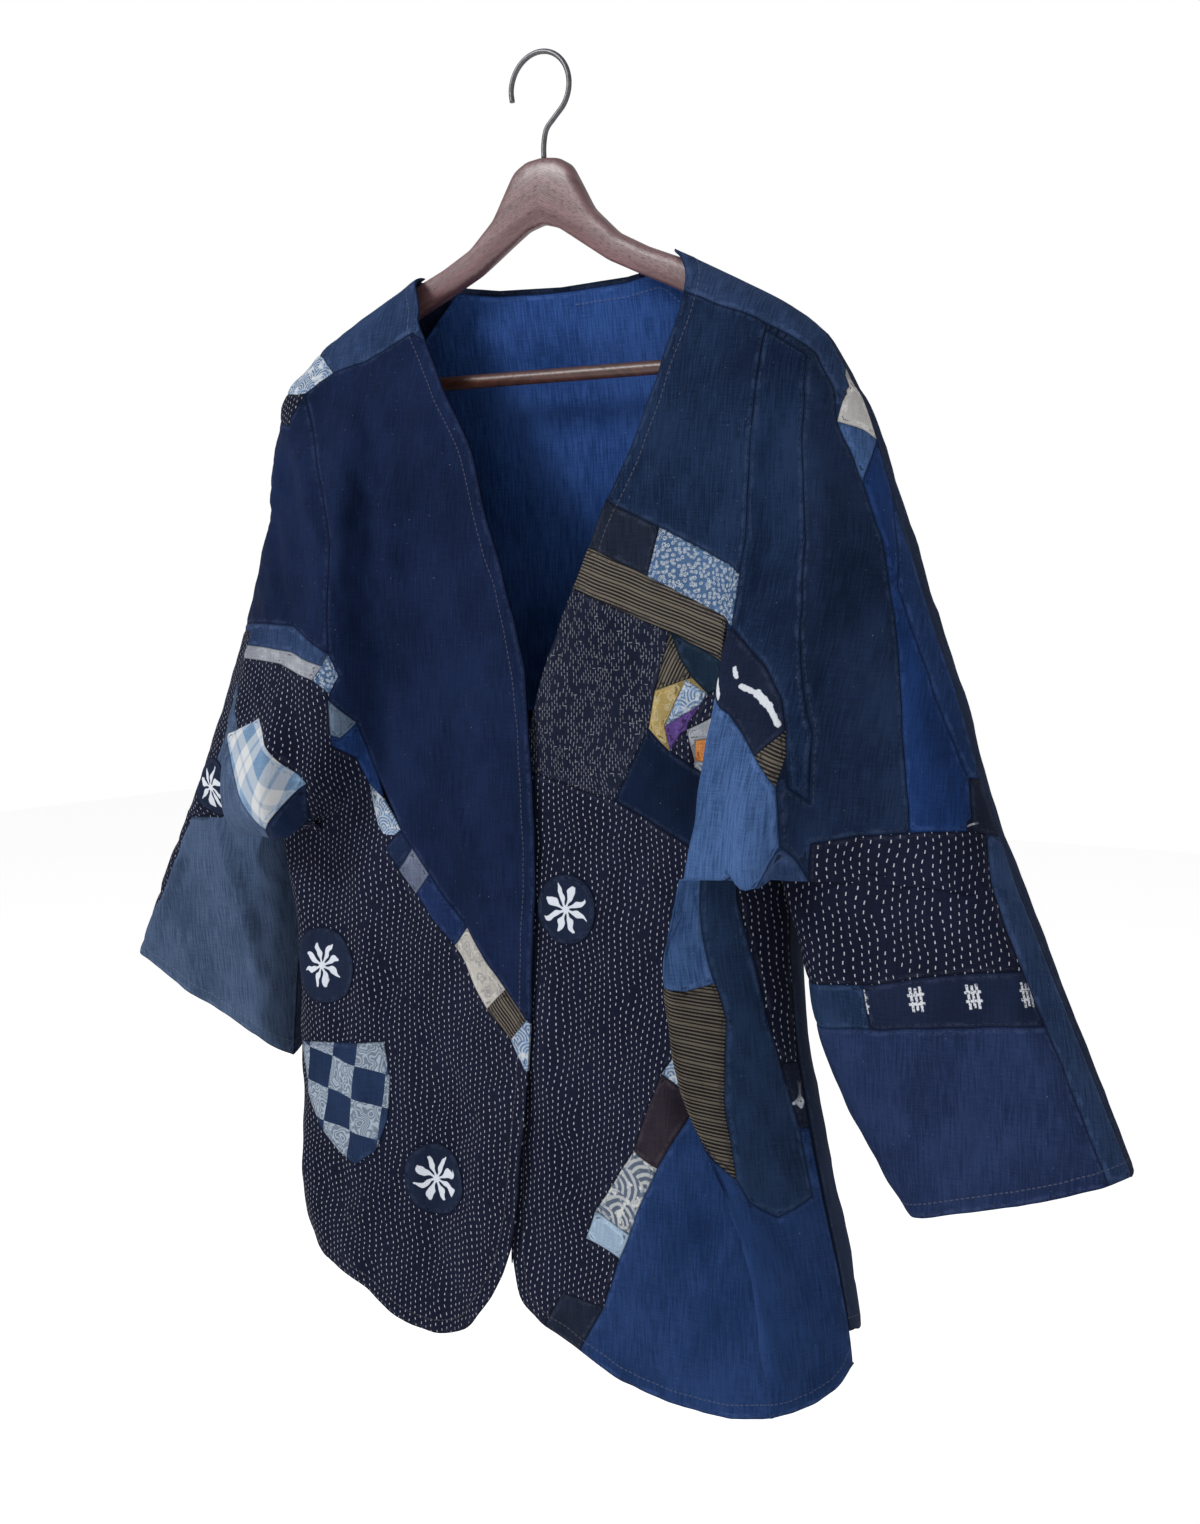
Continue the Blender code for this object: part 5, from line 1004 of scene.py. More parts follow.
class Graph:
    """The nodes of one material, or of the world."""

    def __init__(self, name: str, world: Optional[bpy.types.World] = None) -> None:
        """Start an empty material, or empty the world's nodes."""
        self.material = world or bpy.data.materials.new(name)
        self.material.use_nodes = True
        self.tree = self.material.node_tree
        self.tree.nodes.clear()

    def node(self, kind: str, settings: Optional[dict] = None, values: Optional[dict] = None) -> bpy.types.Node:
        """Add a node.

        Args:
            kind: the node's type.
            settings: the node's own settings.
            values: for each input, by name or number, a value or a wire.

        Returns:
            The node.
        """
        made = self.tree.nodes.new(kind)
        for key, value in (settings or {}).items():
            setattr(made, key, value)
        for key, value in (values or {}).items():
            if isinstance(value, Wire):
                self.tree.links.new(value.socket, made.inputs[key])
            else:
                made.inputs[key].default_value = value
        return made

    def wire(self, kind: str, settings: Optional[dict] = None, values: Optional[dict] = None,
             out: int | str = 0) -> Wire:
        """Add a node and take one of its outputs."""
        return Wire(self, self.node(kind, settings, values).outputs[out])

    def uv(self, name: str) -> tuple[Wire, Wire]:
        """The two values of a UV map in centimetres."""
        split = self.node("ShaderNodeSeparateXYZ", {}, {0: self.wire("ShaderNodeUVMap", {"uv_map": name})})
        return Wire(self, split.outputs[0]) * 100.0, Wire(self, split.outputs[1]) * 100.0

    def spot(self) -> tuple[Wire, Wire, Wire]:
        """The three Object coordinates in metres."""
        split = self.node("ShaderNodeSeparateXYZ", {}, {0: self.wire("ShaderNodeTexCoord", {}, {}, "Object")})
        return Wire(self, split.outputs[0]), Wire(self, split.outputs[1]), Wire(self, split.outputs[2])

    def vector(self, x: Value, y: Value, z: Value = 0.0) -> Wire:
        """Three values as a vector."""
        return self.wire("ShaderNodeCombineXYZ", {}, {0: x, 1: y, 2: z})

    def noise(self, x: Value, y: Value, detail: float = 2.0) -> Wire:
        """Soft noise around 0.5, one wave to each unit of x and y."""
        return self.wire("ShaderNodeTexNoise", {"noise_dimensions": "2D"},
                         {"Vector": self.vector(x, y), "Scale": 1.0, "Detail": detail, "Roughness": 0.55})

    def chance(self, x: Value, y: Value) -> Wire:
        """An even random value for each whole x and y."""
        return self.wire("ShaderNodeTexWhiteNoise", {"noise_dimensions": "2D"}, {"Vector": self.vector(x, y)})

    def mix(self, factor: Value, a: Wire | Colour, b: Wire | Colour) -> Wire:
        """Colour a to colour b."""
        full = [c if isinstance(c, Wire) else (*c, 1.0) for c in (a, b)]
        made = self.node("ShaderNodeMix", {"data_type": "RGBA"}, {0: factor, 6: full[0], 7: full[1]})
        return Wire(self, made.outputs[2])

    def turned(self, x: Wire, y: Wire, degrees: float) -> tuple[Wire, Wire]:
        """The two values in axes turned by an angle."""
        c, s = float(np.cos(np.radians(degrees))), float(np.sin(np.radians(degrees)))
        return x * c + y * s, y * c - x * s

    def finish(self, colour: Wire, bump: Wire, distance: float, rough: Value, **constants: float) -> bpy.types.Material:
        """Close the material with its one shader.

        Args:
            colour: the base colour.
            bump: height of the fine relief.
            distance: metres that a height of 1 stands out.
            rough: the roughness.
            constants: other inputs of the shader, spaces written as underscores.

        Returns:
            The material.
        """
        normal = self.wire("ShaderNodeBump", {}, {"Strength": 1.0, "Distance": distance, "Height": bump})
        values = {"Base Color": colour, "Roughness": rough, "Normal": normal, "Emission Color": (1.0, 1.0, 1.0, 1.0)}
        values.update({key.replace("_", " "): value for key, value in constants.items()})
        shader = self.wire("ShaderNodeBsdfPrincipled", {}, values)
        self.node("ShaderNodeOutputMaterial", {}, {0: shader})
        return self.material


class Pattern(Enum):
    """What is stitched, woven or printed on a cloth."""

    PLAIN = "plain"
    SASHIKO = "sashiko"
    KASURI = "kasuri"
    STRIPE = "stripe"
    PLAID = "plaid"
    PEBBLE = "pebble"
    WAVES = "waves"
    BRUSH = "brush"
    STROKES = "strokes"
    BLOOM = "bloom"
    HASH = "hash"
    SQUARES = "squares"
    FLAKE = "flake"


@dataclass(frozen=True)
class Cloth:
    """How one cloth looks: its worn and deep colours, its pattern and the colour of that."""

    dark: Colour
    light: Colour
    pattern: Pattern = Pattern.PLAIN
    ink: Colour = (0.62, 0.62, 0.60)
    size: float = 1.0
    angle: float = 0.0
    flecks: float = 0.0
    slub: float = 0.5
    centre: Point = (0.0, 0.0)


FINE_SASHIKO = Cloth((0.0032, 0.0046, 0.0135), (0.0075, 0.0095, 0.0240), Pattern.SASHIKO, (0.36, 0.38, 0.43), 0.40)
CLOTHS = {
    "faded_navy": Cloth((0.0020, 0.0065, 0.024), (0.0070, 0.0150, 0.050), flecks=0.5, slub=0.9),
    "indigo_black": FINE_SASHIKO,
    "coarse_sashiko": replace(FINE_SASHIKO, size=0.50),
    "slate": Cloth((0.008, 0.020, 0.055), (0.026, 0.048, 0.115), flecks=0.5, slub=1.1),
    "pale_print": Cloth((0.060, 0.110, 0.200), (0.110, 0.180, 0.300), Pattern.WAVES, (0.42, 0.45, 0.48), 1.5),
    "pebble": Cloth((0.030, 0.065, 0.135), (0.060, 0.110, 0.205), Pattern.PEBBLE, (0.40, 0.43, 0.46), 0.50),
    "fan": Cloth((0.050, 0.065, 0.095), (0.080, 0.105, 0.150), Pattern.WAVES, (0.42, 0.43, 0.43), 3.4, -35.0),
    "oatmeal": Cloth((0.145, 0.155, 0.185), (0.245, 0.258, 0.29), slub=0.6),
    "bright_cream": Cloth((0.36, 0.355, 0.35), (0.50, 0.49, 0.48), slub=0.7),
    "chambray": Cloth((0.023, 0.040, 0.078), (0.058, 0.088, 0.155), flecks=0.6, slub=1.3),
    "dark_blue": Cloth((0.003, 0.008, 0.026), (0.009, 0.018, 0.050), slub=0.6),
    "denim_grey": Cloth((0.050, 0.075, 0.120), (0.100, 0.140, 0.200), flecks=0.5, slub=0.9),
    "bright_blue": Cloth((0.004, 0.015, 0.060), (0.010, 0.032, 0.118), flecks=0.3, slub=1.1),
    "grey_heather": Cloth((0.050, 0.060, 0.100), (0.110, 0.130, 0.190), flecks=0.8, slub=0.9),
    "royal_navy": Cloth((0.004, 0.011, 0.045), (0.011, 0.024, 0.080), slub=0.7),
    "cream": Cloth((0.26, 0.25, 0.23), (0.40, 0.385, 0.36), Pattern.BLOOM, (0.17, 0.17, 0.18), 1.6),
    "brown_stripe": Cloth((0.006, 0.006, 0.009), (0.014, 0.013, 0.015), Pattern.STRIPE, (0.150, 0.128, 0.098), 0.21),
    "plaid": Cloth((0.090, 0.160, 0.270), (0.150, 0.235, 0.350), Pattern.PLAID, (0.46, 0.47, 0.48), 2.6, 38.0),
    "dark_slate": Cloth((0.003, 0.008, 0.024), (0.010, 0.021, 0.054), flecks=0.3, slub=0.8),
    "slate_navy": Cloth((0.0025, 0.008, 0.026), (0.010, 0.023, 0.060), flecks=0.9, slub=1.1),
    "light_denim": Cloth((0.016, 0.042, 0.115), (0.052, 0.104, 0.240), flecks=0.7, slub=1.3),
    "disc": Cloth((0.004, 0.007, 0.020), (0.010, 0.016, 0.038), Pattern.STROKES, (0.50, 0.53, 0.58)),
    "ikat": Cloth((0.005, 0.008, 0.020), (0.011, 0.016, 0.035), Pattern.BRUSH, (0.45, 0.48, 0.54), 2.6, 20.0),
    "charcoal": Cloth((0.004, 0.007, 0.015), (0.012, 0.017, 0.034), flecks=0.6, slub=0.9),
    "kasuri": Cloth((0.004, 0.006, 0.016), (0.009, 0.012, 0.027), Pattern.KASURI, (0.190, 0.195, 0.225), 0.19),
    "teal": Cloth((0.003, 0.010, 0.022), (0.008, 0.019, 0.038), slub=0.7),
    "ochre": Cloth((0.20, 0.15, 0.05), (0.32, 0.24, 0.10), Pattern.BLOOM, (0.36, 0.32, 0.22), 1.0),
    "deep_indigo": Cloth((0.001, 0.004, 0.014), (0.0035, 0.0095, 0.030), flecks=0.3, slub=0.9),
    "slate_green": Cloth((0.005, 0.013, 0.036), (0.016, 0.035, 0.084), flecks=0.5, slub=0.9),
    "plum": Cloth((0.010, 0.008, 0.013), (0.024, 0.018, 0.027), slub=0.8),
    "pale_blue": Cloth((0.17, 0.24, 0.33), (0.27, 0.35, 0.44), slub=0.6),
    "royal_blue": Cloth((0.005, 0.017, 0.060), (0.015, 0.038, 0.118), flecks=0.3, slub=1.0),
    "indigo_cloth": Cloth((0.007, 0.014, 0.045), (0.018, 0.032, 0.088), flecks=0.4, slub=1.0),
    "kasuri_band": Cloth((0.005, 0.009, 0.026), (0.011, 0.018, 0.045), Pattern.HASH, (0.50, 0.52, 0.56), 3.43, 9.5),
    "roundel": Cloth((0.005, 0.009, 0.024), (0.011, 0.018, 0.042), Pattern.FLAKE, (0.52, 0.55, 0.61), 1.85),
    "pocket": Cloth((0.006, 0.014, 0.040), (0.015, 0.030, 0.075), Pattern.SQUARES, (0.27, 0.32, 0.38), 2.3, 8.0),
    "lining": Cloth((0.008, 0.030, 0.115), (0.026, 0.068, 0.225), flecks=0.2, slub=1.4),
    "back_cloth": Cloth((0.005, 0.010, 0.028), (0.012, 0.022, 0.052), flecks=0.4, slub=0.8),
    "violet": Cloth((0.04, 0.02, 0.10), (0.09, 0.05, 0.19), slub=0.6),
    "orange": Cloth((0.30, 0.10, 0.03), (0.42, 0.17, 0.05), slub=0.6),
}
# White brush strokes of the round patch: from, to, half width, in centimetres
BRUSH_STROKES = [
    (15.9, -39.3, 16.3, -40.2, 0.30), (17.3, -39.2, 17.9, -40.0, 0.22), (19.3, -39.4, 20.4, -39.8, 0.15),
    (20.4, -39.8, 21.4, -40.5, 0.22), (21.4, -40.5, 22.2, -41.5, 0.16), (18.6, -38.4, 18.9, -38.9, 0.12),
]
# Pieces whose cloth is cut another way or is a relative of its slot's: cloth and turn of its pattern
LOOKS = {
    "sleeve_left_sashiko": ("coarse_sashiko", 0.0), "sleeve_band_top": ("coarse_sashiko", 0.0),
    "patch_pebble": ("pebble", 0.0), "sleeve_print": ("pebble", 20.0), "piece_fan": ("fan", -35.0),
    "patch_cream": ("bright_cream", 0.0), "hexagon_beige": ("oatmeal", 0.0), "hexagon_stripe": ("pale_print", 40.0),
    "band_brown": ("brown_stripe", -19.0), "striped_border": ("brown_stripe", 62.0),
    "underarm_stripes": ("brown_stripe", -22.0), "piece_brown_rib": ("brown_stripe", -12.0),
    "diagonal_brown_stripe": ("brown_stripe", 50.0), "underarm_disc": ("disc", 0.0), "patch_brush": ("ikat", 60.0),
}


def dashes(g: Graph, u: Wire, v: Wire, across: float, along: float, wide: float, long: float, share: float) -> Wire:
    """Short stitches in staggered rows.

    Args:
        g: the graph.
        u: place across the rows.
        v: place along the rows.
        across: distance between rows.
        along: distance between stitches in a row.
        wide: a stitch's width.
        long: a stitch's length.
        share: how many of the places have a stitch.

    Returns:
        1 on a stitch, each row moved along by its own random amount, and each stitch's size and place a little uneven.
    """
    row = (u / across).floor()
    shift = row * 0.5 + g.chance(row, 7.0) * 0.14
    t = v / along + shift
    cell = t.floor()
    luck = g.chance(row, cell)
    side = abs((u / across).part() - 0.5 + (luck - 0.5) * 0.22) * across
    end = abs(t.part() - 0.5) * along
    mask = side.ramp(wide * 0.62, wide * 0.38) * end.ramp(long * 0.56, long * 0.42)
    if share < 1.0:
        mask = mask * g.chance(row + 91.0, cell).math("LESS_THAN", share)
    return mask


def figure(g: Graph, cloth: Cloth, p: Wire, r: Wire) -> Value:
    """A cloth's pattern.

    Args:
        g: the graph.
        cloth: the cloth.
        p: chart place out, in centimetres.
        r: chart height, in centimetres.

    Returns:
        Where the pattern shows its ink, from 0 to 1.
    """
    bend = (g.noise(p * 0.3, r * 0.3, 1.0) - 0.5) * 0.8
    u, v = g.turned(p + bend, r + bend * 0.6, cloth.angle)
    size, kind = cloth.size, cloth.pattern
    if kind is Pattern.SASHIKO:
        return dashes(g, u, v, size, size, size * 0.135, size * 0.41, 0.98)
    if kind is Pattern.KASURI:
        fine = dashes(g, u, v, size, size * 2.1, size * 0.30, size * 1.35, 0.70)
        cross = dashes(g, v, u, size * 4.2, size * 2.4, size * 0.34, size * 1.2, 0.25)
        return fine.math("MAXIMUM", cross) * (g.noise(p * 1.3, r * 0.9) * 0.8 + 0.30)
    if kind is Pattern.STRIPE:
        w = g.turned(p, r, cloth.angle)[1] + bend * 0.12
        fine = abs((w / size).part() - 0.5).ramp(0.27, 0.15)
        wide = abs((w / (size * 5.0)).part() - 0.5).ramp(0.10, 0.05)
        return (fine * 0.80).math("MAXIMUM", wide * 0.6)
    if kind is Pattern.PLAID:
        bars = [abs((w / size).part() - 0.5).ramp(0.30, 0.27) * 0.52 for w in (u, v)]
        fine = [abs((w / size).part() - 0.5).ramp(0.05, 0.03) * 0.34 for w in (u, v)]
        return bars[0] + bars[1] - fine[0] - fine[1]
    if kind in (Pattern.PEBBLE, Pattern.BLOOM):
        cell = g.wire("ShaderNodeTexVoronoi", {"voronoi_dimensions": "2D", "feature": "F1"},
                      {"Vector": g.vector(u / size, v / size), "Scale": 1.6, "Randomness": 0.8}, "Distance")
        petals = g.noise(u * 3.0 / size, v * 3.0 / size, 1.0)
        reach = cell + (petals - 0.5) * 0.5
        ring = abs(reach - 0.30).ramp(0.08, 0.03)
        return ring.math("MAXIMUM", reach.ramp(0.16, 0.10)) * (0.9 if kind is Pattern.PEBBLE else 0.6)
    if kind is Pattern.WAVES:
        row = (v / (size * 0.5)).floor()
        t = u / size + row * 0.5
        x, y = (t.part() - 0.5) * size, (v / (size * 0.5)).part() * size * 0.5
        away = (x * x + y * y).math("SQRT") + (g.noise(u * 2.0, v * 2.0, 1.0) - 0.5) * 0.12
        lines = abs((away / (size * 0.14)).part() - 0.5).ramp(0.30, 0.16)
        blobs = g.noise(u * 1.4, v * 1.4, 3.0).ramp(0.56, 0.62)
        return (lines * 0.7).math("MAXIMUM", blobs)
    if kind is Pattern.BRUSH:
        strokes = g.noise(u * 0.9 / size, v * 1.6 / size, 1.0)
        worn = g.noise(u * 0.8 / size + 5.0, v * 0.8 / size, 1.0).ramp(0.44, 0.54)
        return abs(strokes - 0.52).ramp(0.030, 0.018) * worn * g.noise(u * 6.0, v * 6.0, 2.0).ramp(0.26, 0.42)
    if kind is Pattern.STROKES:
        total: Value = 0.0
        for x0, y0, x1, y1, wide in BRUSH_STROKES:
            dx, dy = x1 - x0, y1 - y0
            square = dx * dx + dy * dy
            t = ((p - x0) * (dx / square) + (r - y0) * (dy / square)).math("MINIMUM", 1.0).math("MAXIMUM", 0.0)
            away = ((p - x0 - t * dx).math("POWER", 2.0) + (r - y0 - t * dy).math("POWER", 2.0)).math("SQRT")
            away = away + (g.noise(p * 3.0, r * 3.0, 2.0) - 0.5) * 0.16
            total = away.ramp(wide + 0.03, wide - 0.03).math("MAXIMUM", total)
        return total
    if kind is Pattern.HASH:
        u, v = g.turned(p, r, cloth.angle)
        x, y = (((u - 15.985) / size).part() - 0.5) * size, v + 60.8
        bars = [abs(abs(w) - gap).ramp(0.10, 0.06) * abs(z).ramp(reach, reach - 0.08)
                for w, z, gap, reach in ((x, y, 0.27, 0.75), (x, y, 0.0, 0.68), (y, x, 0.26, 0.52))]
        worn = g.noise(p * 8.0, r * 8.0, 1.0).ramp(0.28, 0.45)
        return bars[0].math("MAXIMUM", bars[1]).math("MAXIMUM", bars[2]) * worn
    if kind is Pattern.SQUARES:
        u, v = g.turned(p, r, cloth.angle)
        light = ((v / size).floor() + (u / size).floor()).math("MODULO", 2.0).math("ABSOLUTE")
        lines = abs(g.noise(u * 0.9, v * 0.9, 1.0) * 9.0 - (u * 0.5)).part()
        return light * (0.45 + abs(lines - 0.5).ramp(0.30, 0.12) * 0.55)
    if kind is Pattern.FLAKE:
        x, y = p - cloth.centre[0], r - cloth.centre[1]
        away = (x * x + y * y).math("SQRT") / size
        angle = y.math("ARCTAN2", x) + (g.noise(p * 0.9, r * 0.9, 1.0) - 0.5) * 0.7
        swing = (angle * (4.0 / np.pi)).part() - 0.5
        across = abs(swing) * away * 0.785
        reach = 0.86 + (g.chance((angle * (4.0 / np.pi)).floor(), 3.0) - 0.5) * 0.24
        wide = abs(away - 0.56).ramp(0.36, 0.06) * 0.080 + 0.040
        arm = (across - wide).ramp(0.014, -0.014) * (away - reach).ramp(0.03, -0.02)
        return arm.math("MAXIMUM", away.ramp(0.15, 0.12))
    return 0.0


def cloth_material(name: str, cloth: Cloth) -> bpy.types.Material:
    """Material of one cloth: slubs and weave, pattern, wear, flecks, seams with painted shade in their creases, and
    stitches.

    Args:
        name: the material's name.
        cloth: the cloth.

    Returns:
        The material. It reads three maps: the chart place, the run and distance of the nearest seam, and the run and
        distance of the nearest free edge.
    """
    g = Graph(name)
    p, r = g.uv("chart")
    s, e = g.uv("seam")
    f, d = g.uv("free")
    broad = g.noise(p * 0.16, r * 0.13, 3.0)
    slub = g.noise(p * 9.0, r * 0.55, 2.0)
    weft = g.noise(p * 0.8, r * 11.0, 2.0)
    grain = g.noise(p * 14.0, r * 14.0, 2.0)
    shade = broad * 0.40 + slub * (0.30 * cloth.slub + 0.08) + weft * 0.18 + grain * 0.22 - 0.15 * (cloth.slub - 0.7)
    tone = shade.ramp(0.38, 0.70)
    colour = g.mix(tone, cloth.dark, cloth.light)
    ink = figure(g, cloth, p, r)
    colour = g.mix(ink, colour, cloth.ink)
    worn = tuple(min(1.0, 1.6 * c + 0.008) for c in cloth.light)
    fade = abs(e - 0.22).ramp(0.22, 0.02) * g.noise(p * 1.2, r * 1.2, 2.0).ramp(0.42, 0.66) * 0.45
    colour = g.mix(fade, colour, worn)
    if cloth.flecks > 0.0:
        lint = g.noise(p * 5.5, r * 4.0, 4.0).ramp(0.765 - 0.03 * cloth.flecks, 0.82)
        colour = g.mix(lint * 0.75, colour, (0.20, 0.23, 0.29))
    thread = tuple(0.9 * c + 0.03 for c in cloth.light)
    sewn = abs(e - 0.20).ramp(0.050, 0.025) * abs((s / 0.40).part() - 0.5).ramp(0.33, 0.26)
    colour = g.mix(sewn * 0.35, colour, thread)
    top = abs(d - 0.85).ramp(0.055, 0.030) * abs((f / 0.34).part() - 0.5).ramp(0.36, 0.30)
    colour = g.mix(top * 0.7, colour, tuple(0.8 * c + 0.05 for c in cloth.light))
    # Painted shade: within 0.7 mm of a seam the colour is darkened towards 0.35 of the deep colour, as shade in the
    # seam's crease; the same mask sinks the bump there.
    seam_groove_shade = e.ramp(0.07, 0.0)
    colour = g.mix(seam_groove_shade * 0.5, colour, tuple(0.35 * c for c in cloth.dark))
    weave = (p * 70.0).sin() * (r * 70.0).sin()
    rolled = abs(d - 0.85).ramp(0.16, 0.0)
    raised = 0.8 if cloth.pattern in (Pattern.SASHIKO, Pattern.KASURI) else 0.1
    bump = weave * 0.10 + slub * 0.35 + grain * 0.30 + weft * 0.15 + ink * raised
    bump = bump + sewn * 0.5 - seam_groove_shade * 1.0 - rolled * 0.5 + top * 0.6
    return g.finish(colour, bump, 0.0006, 0.82 + tone * 0.10, Specular_IOR_Level=0.06)


class Tailor:
    """Makes the cloth pieces of the jacket."""

    def __init__(self) -> None:
        """Start with no cloth chosen."""
        self.materials: dict[str, bpy.types.Material] = {}

    def finish_of(self, cloth: str, name: str, centre: Point) -> bpy.types.Material:
        """The material of a piece: its cloth's, or its own where its pattern is turned or has a middle."""
        own = name in LOOKS or cloth == "roundel"
        key = name if own else cloth
        if key not in self.materials:
            cloth, angle = LOOKS.get(name, (cloth, CLOTHS[cloth].angle))
            kind = replace(CLOTHS[cloth], centre=centre, angle=angle)
            self.materials[key] = cloth_material("cloth_" + key, kind)
        return self.materials[key]

    @staticmethod
    def flat_size(q: np.ndarray) -> tuple[float, float]:
        """Sides of the smallest rectangle, over 45 directions, that holds the places."""
        turns = np.radians(np.arange(0, 90, 2))
        spans = [(np.ptp(q @ [np.cos(t), np.sin(t)]), np.ptp(q @ [-np.sin(t), np.cos(t)])) for t in turns]
        wide, long = min(spans, key=lambda s: s[0] * s[1])
        return max(wide, LEAST_SIDE), max(long, LEAST_SIDE)

    def sew(self, chart: Chart, patches: Sequence[Patch], step: float) -> None:
        """Cut one chart and make each of its pieces.

        Args:
            chart: the chart.
            patches: its pieces.
            step: the size of a triangle.
        """
        cutter = Cutter(chart, patches, step)
        facing = 1.0 if (chart.side == "left") == (chart.face == "front") else -1.0
        verts, triangles = cutter.verts, cutter.triangles
        waves = relief(chart.side, verts)
        lines = [line for sheet in chart.sheets.values() for line, _, _ in sheet.edges]
        near = np.min([nearest_edge(verts, line[:-1], line[1:])[0] for line in lines], axis=0)
        waves = waves * smooth(near / 0.02) * (1.0 if chart.face == "front" else BACK_WAVES)
        above = cutter.middle[:, 1] > (-9.0 if chart.split is None else chart.split)
        placed = {}
        free = [np.array(line) for line in chart.free]
        for zone in {patch.zone for patch in patches}:
            spots = chart.place(verts, zone)
            part = {"upper": above, "body": ~above}.get(zone, np.ones(len(triangles), bool))
            placed[zone] = spots, normals_of(spots, triangles[part], facing)
        for number, patch in enumerate(cutter.patches):
            mask = (cutter.grounds if patch.layer == "pieced" else cutter.labels) == number
            if mask.sum() < 4:
                log.info("%s is hidden", patch.name)
                continue
            join = SPLIT[chart.side] + (SLEEVE_LAP if chart.split is None else 0.0)
            surface, area = self.piece(verts, triangles[mask], waves, placed[patch.zone], free, patch.layer, chart.face,
                                       join)
            corners = verts[triangles[mask]]
            one, two = corners[:, 1] - corners[:, 0], corners[:, 2] - corners[:, 0]
            charted = np.abs(one[:, 0] * two[:, 1] - one[:, 1] * two[:, 0]).sum() / 2
            self.hang(patch, surface, area, verts[np.unique(triangles[mask])] * np.sqrt(area / charted))

    @staticmethod
    def piece(verts: np.ndarray, triangles: np.ndarray, waves: np.ndarray, placed: tuple[np.ndarray, np.ndarray],
              free: Sequence[np.ndarray], layer: str, face: str, join: float = 9.0) -> tuple[Surface, float]:
        """Closed wall of one piece.

        Args:
            verts: chart places of the whole chart.
            triangles: the piece's triangles.
            waves: relief at each chart place.
            placed: places in space, and normals.
            free: the chart's free edges.
            layer: pieced or applied.
            face: front or back.
            join: the height where the cloth goes on without a seam.

        Returns:
            The surface, its outer skin lifted by the relief less a dip of 0.6 mm at the border that dies away over
            1.1 mm, its inner skin one thickness under it, and a rim between them; and the cloth's area.
        """
        used = np.unique(triangles)
        local = np.searchsorted(used, triangles)
        q = verts[used]
        border = border_of(local)
        seams = border[np.abs(q[border][:, :, 1] - join).max(1) > 1e-4]
        away, which, _ = nearest_edge(q, q[seams[:, 0]], q[seams[:, 1]])
        run = q[seams[:, 1]] - q[seams[:, 0]]
        run /= np.linalg.norm(run, axis=1)[:, None]
        run *= np.where(run[:, 0] + 1e-6 * run[:, 1] < 0, -1.0, 1.0)[:, None]
        along = (q * run[which]).sum(1)
        gap, place = np.full(len(q), 1.0), np.zeros(len(q))
        for line in free:
            steps = np.r_[0, np.cumsum(np.linalg.norm(np.diff(line, axis=0), axis=1))]
            reach, i, t = nearest_edge(q, line[:-1], line[1:])
            closer = reach < gap
            gap = np.where(closer, reach, gap)
            place = np.where(closer, steps[i] + t * (steps[i + 1] - steps[i]), place)
        spots, normals = placed[0][used], placed[1][used]
        lift, thick, share = (0.0, WALL, 1.0) if layer == "pieced" else (APPLIED_LIFT, APPLIED_WALL, APPLIED_DIP)
        high = waves[used] - SEAM_DIP * np.exp(-away / SEAM_DIP_WIDTH) * share + lift
        skins = np.vstack([spots + normals * high[:, None], spots + normals * (high - thick)[:, None]])
        depth = skins[:, 1]
        skins[:, 1] = np.minimum(depth, -MIDDLE_GAP) if face == "front" else np.maximum(depth, MIDDLE_GAP)
        n = len(q)
        a, b = border[:, 0], border[:, 1]
        rim = np.vstack([np.stack([a, a + n, b], 1), np.stack([b, a + n, b + n], 1)])
        faces = np.vstack([local, local[:, ::-1] + n, rim])
        maps = {"chart": q, "seam": np.stack([along, away], 1), "free": np.stack([place, gap], 1)}
        doubled = {key: np.vstack([value, value]) for key, value in maps.items()}
        corners = placed[0][triangles]
        across = np.cross(corners[:, 1] - corners[:, 0], corners[:, 2] - corners[:, 0])
        area = float(np.linalg.norm(across, axis=1).sum() / 2)
        return Surface(skins, faces, np.vstack([border, border + n]), doubled), area

    def hang(self, patch: Patch, surface: Surface, area: float, q: np.ndarray) -> None:
        """Put one piece in the scene with its cloth and body, and log its flat size.

        Args:
            patch: the piece.
            surface: its closed wall.
            area: the cloth's area in space.
            q: its chart places, scaled so that the chart's area is the area in space.
        """
        centre = tuple(np.mean(patch.ring, axis=0) / CM) if patch.cloth == "roundel" else (0.0, 0.0)
        material = self.finish_of(patch.cloth, patch.name, centre)
        obj = surface.place("cloth_" + patch.name, material)
        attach(obj, "root")
        if patch.nodes:
            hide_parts(*patch.nodes)
        wide, long = self.flat_size(q)
        area = min(max(area, LEAST_FILL * wide * long), wide * long)
        log.info("%s: %d faces, flat %.0f x %.0f mm", obj.name, len(surface.faces), wide * 1000, long * 1000)

    @staticmethod
    def circles(side: str) -> list[Patch]:
        """Roundels and pocket of one front."""
        turn = np.linspace(0, 2 * np.pi, 25)[:-1]
        rows = []
        for nodes_too, table in ((True, ROUNDELS), (False, EXTRA_ROUNDELS)):
            for name, its_side, zone, x, y, wide, high in table:
                if its_side == side:
                    ring = [(x + wide * np.cos(t), y + high * np.sin(t)) for t in turn]
                    nodes = (name,) if nodes_too else ()
                    rows.append(Patch(name, zone, "roundel", tuple(metres(ring)), nodes, "applied"))
        if side == "right":
            rows.append(Patch("pocket_right", "body", "pocket", tuple(metres(POCKET)), ("pocket_right",), "applied"))
        return rows

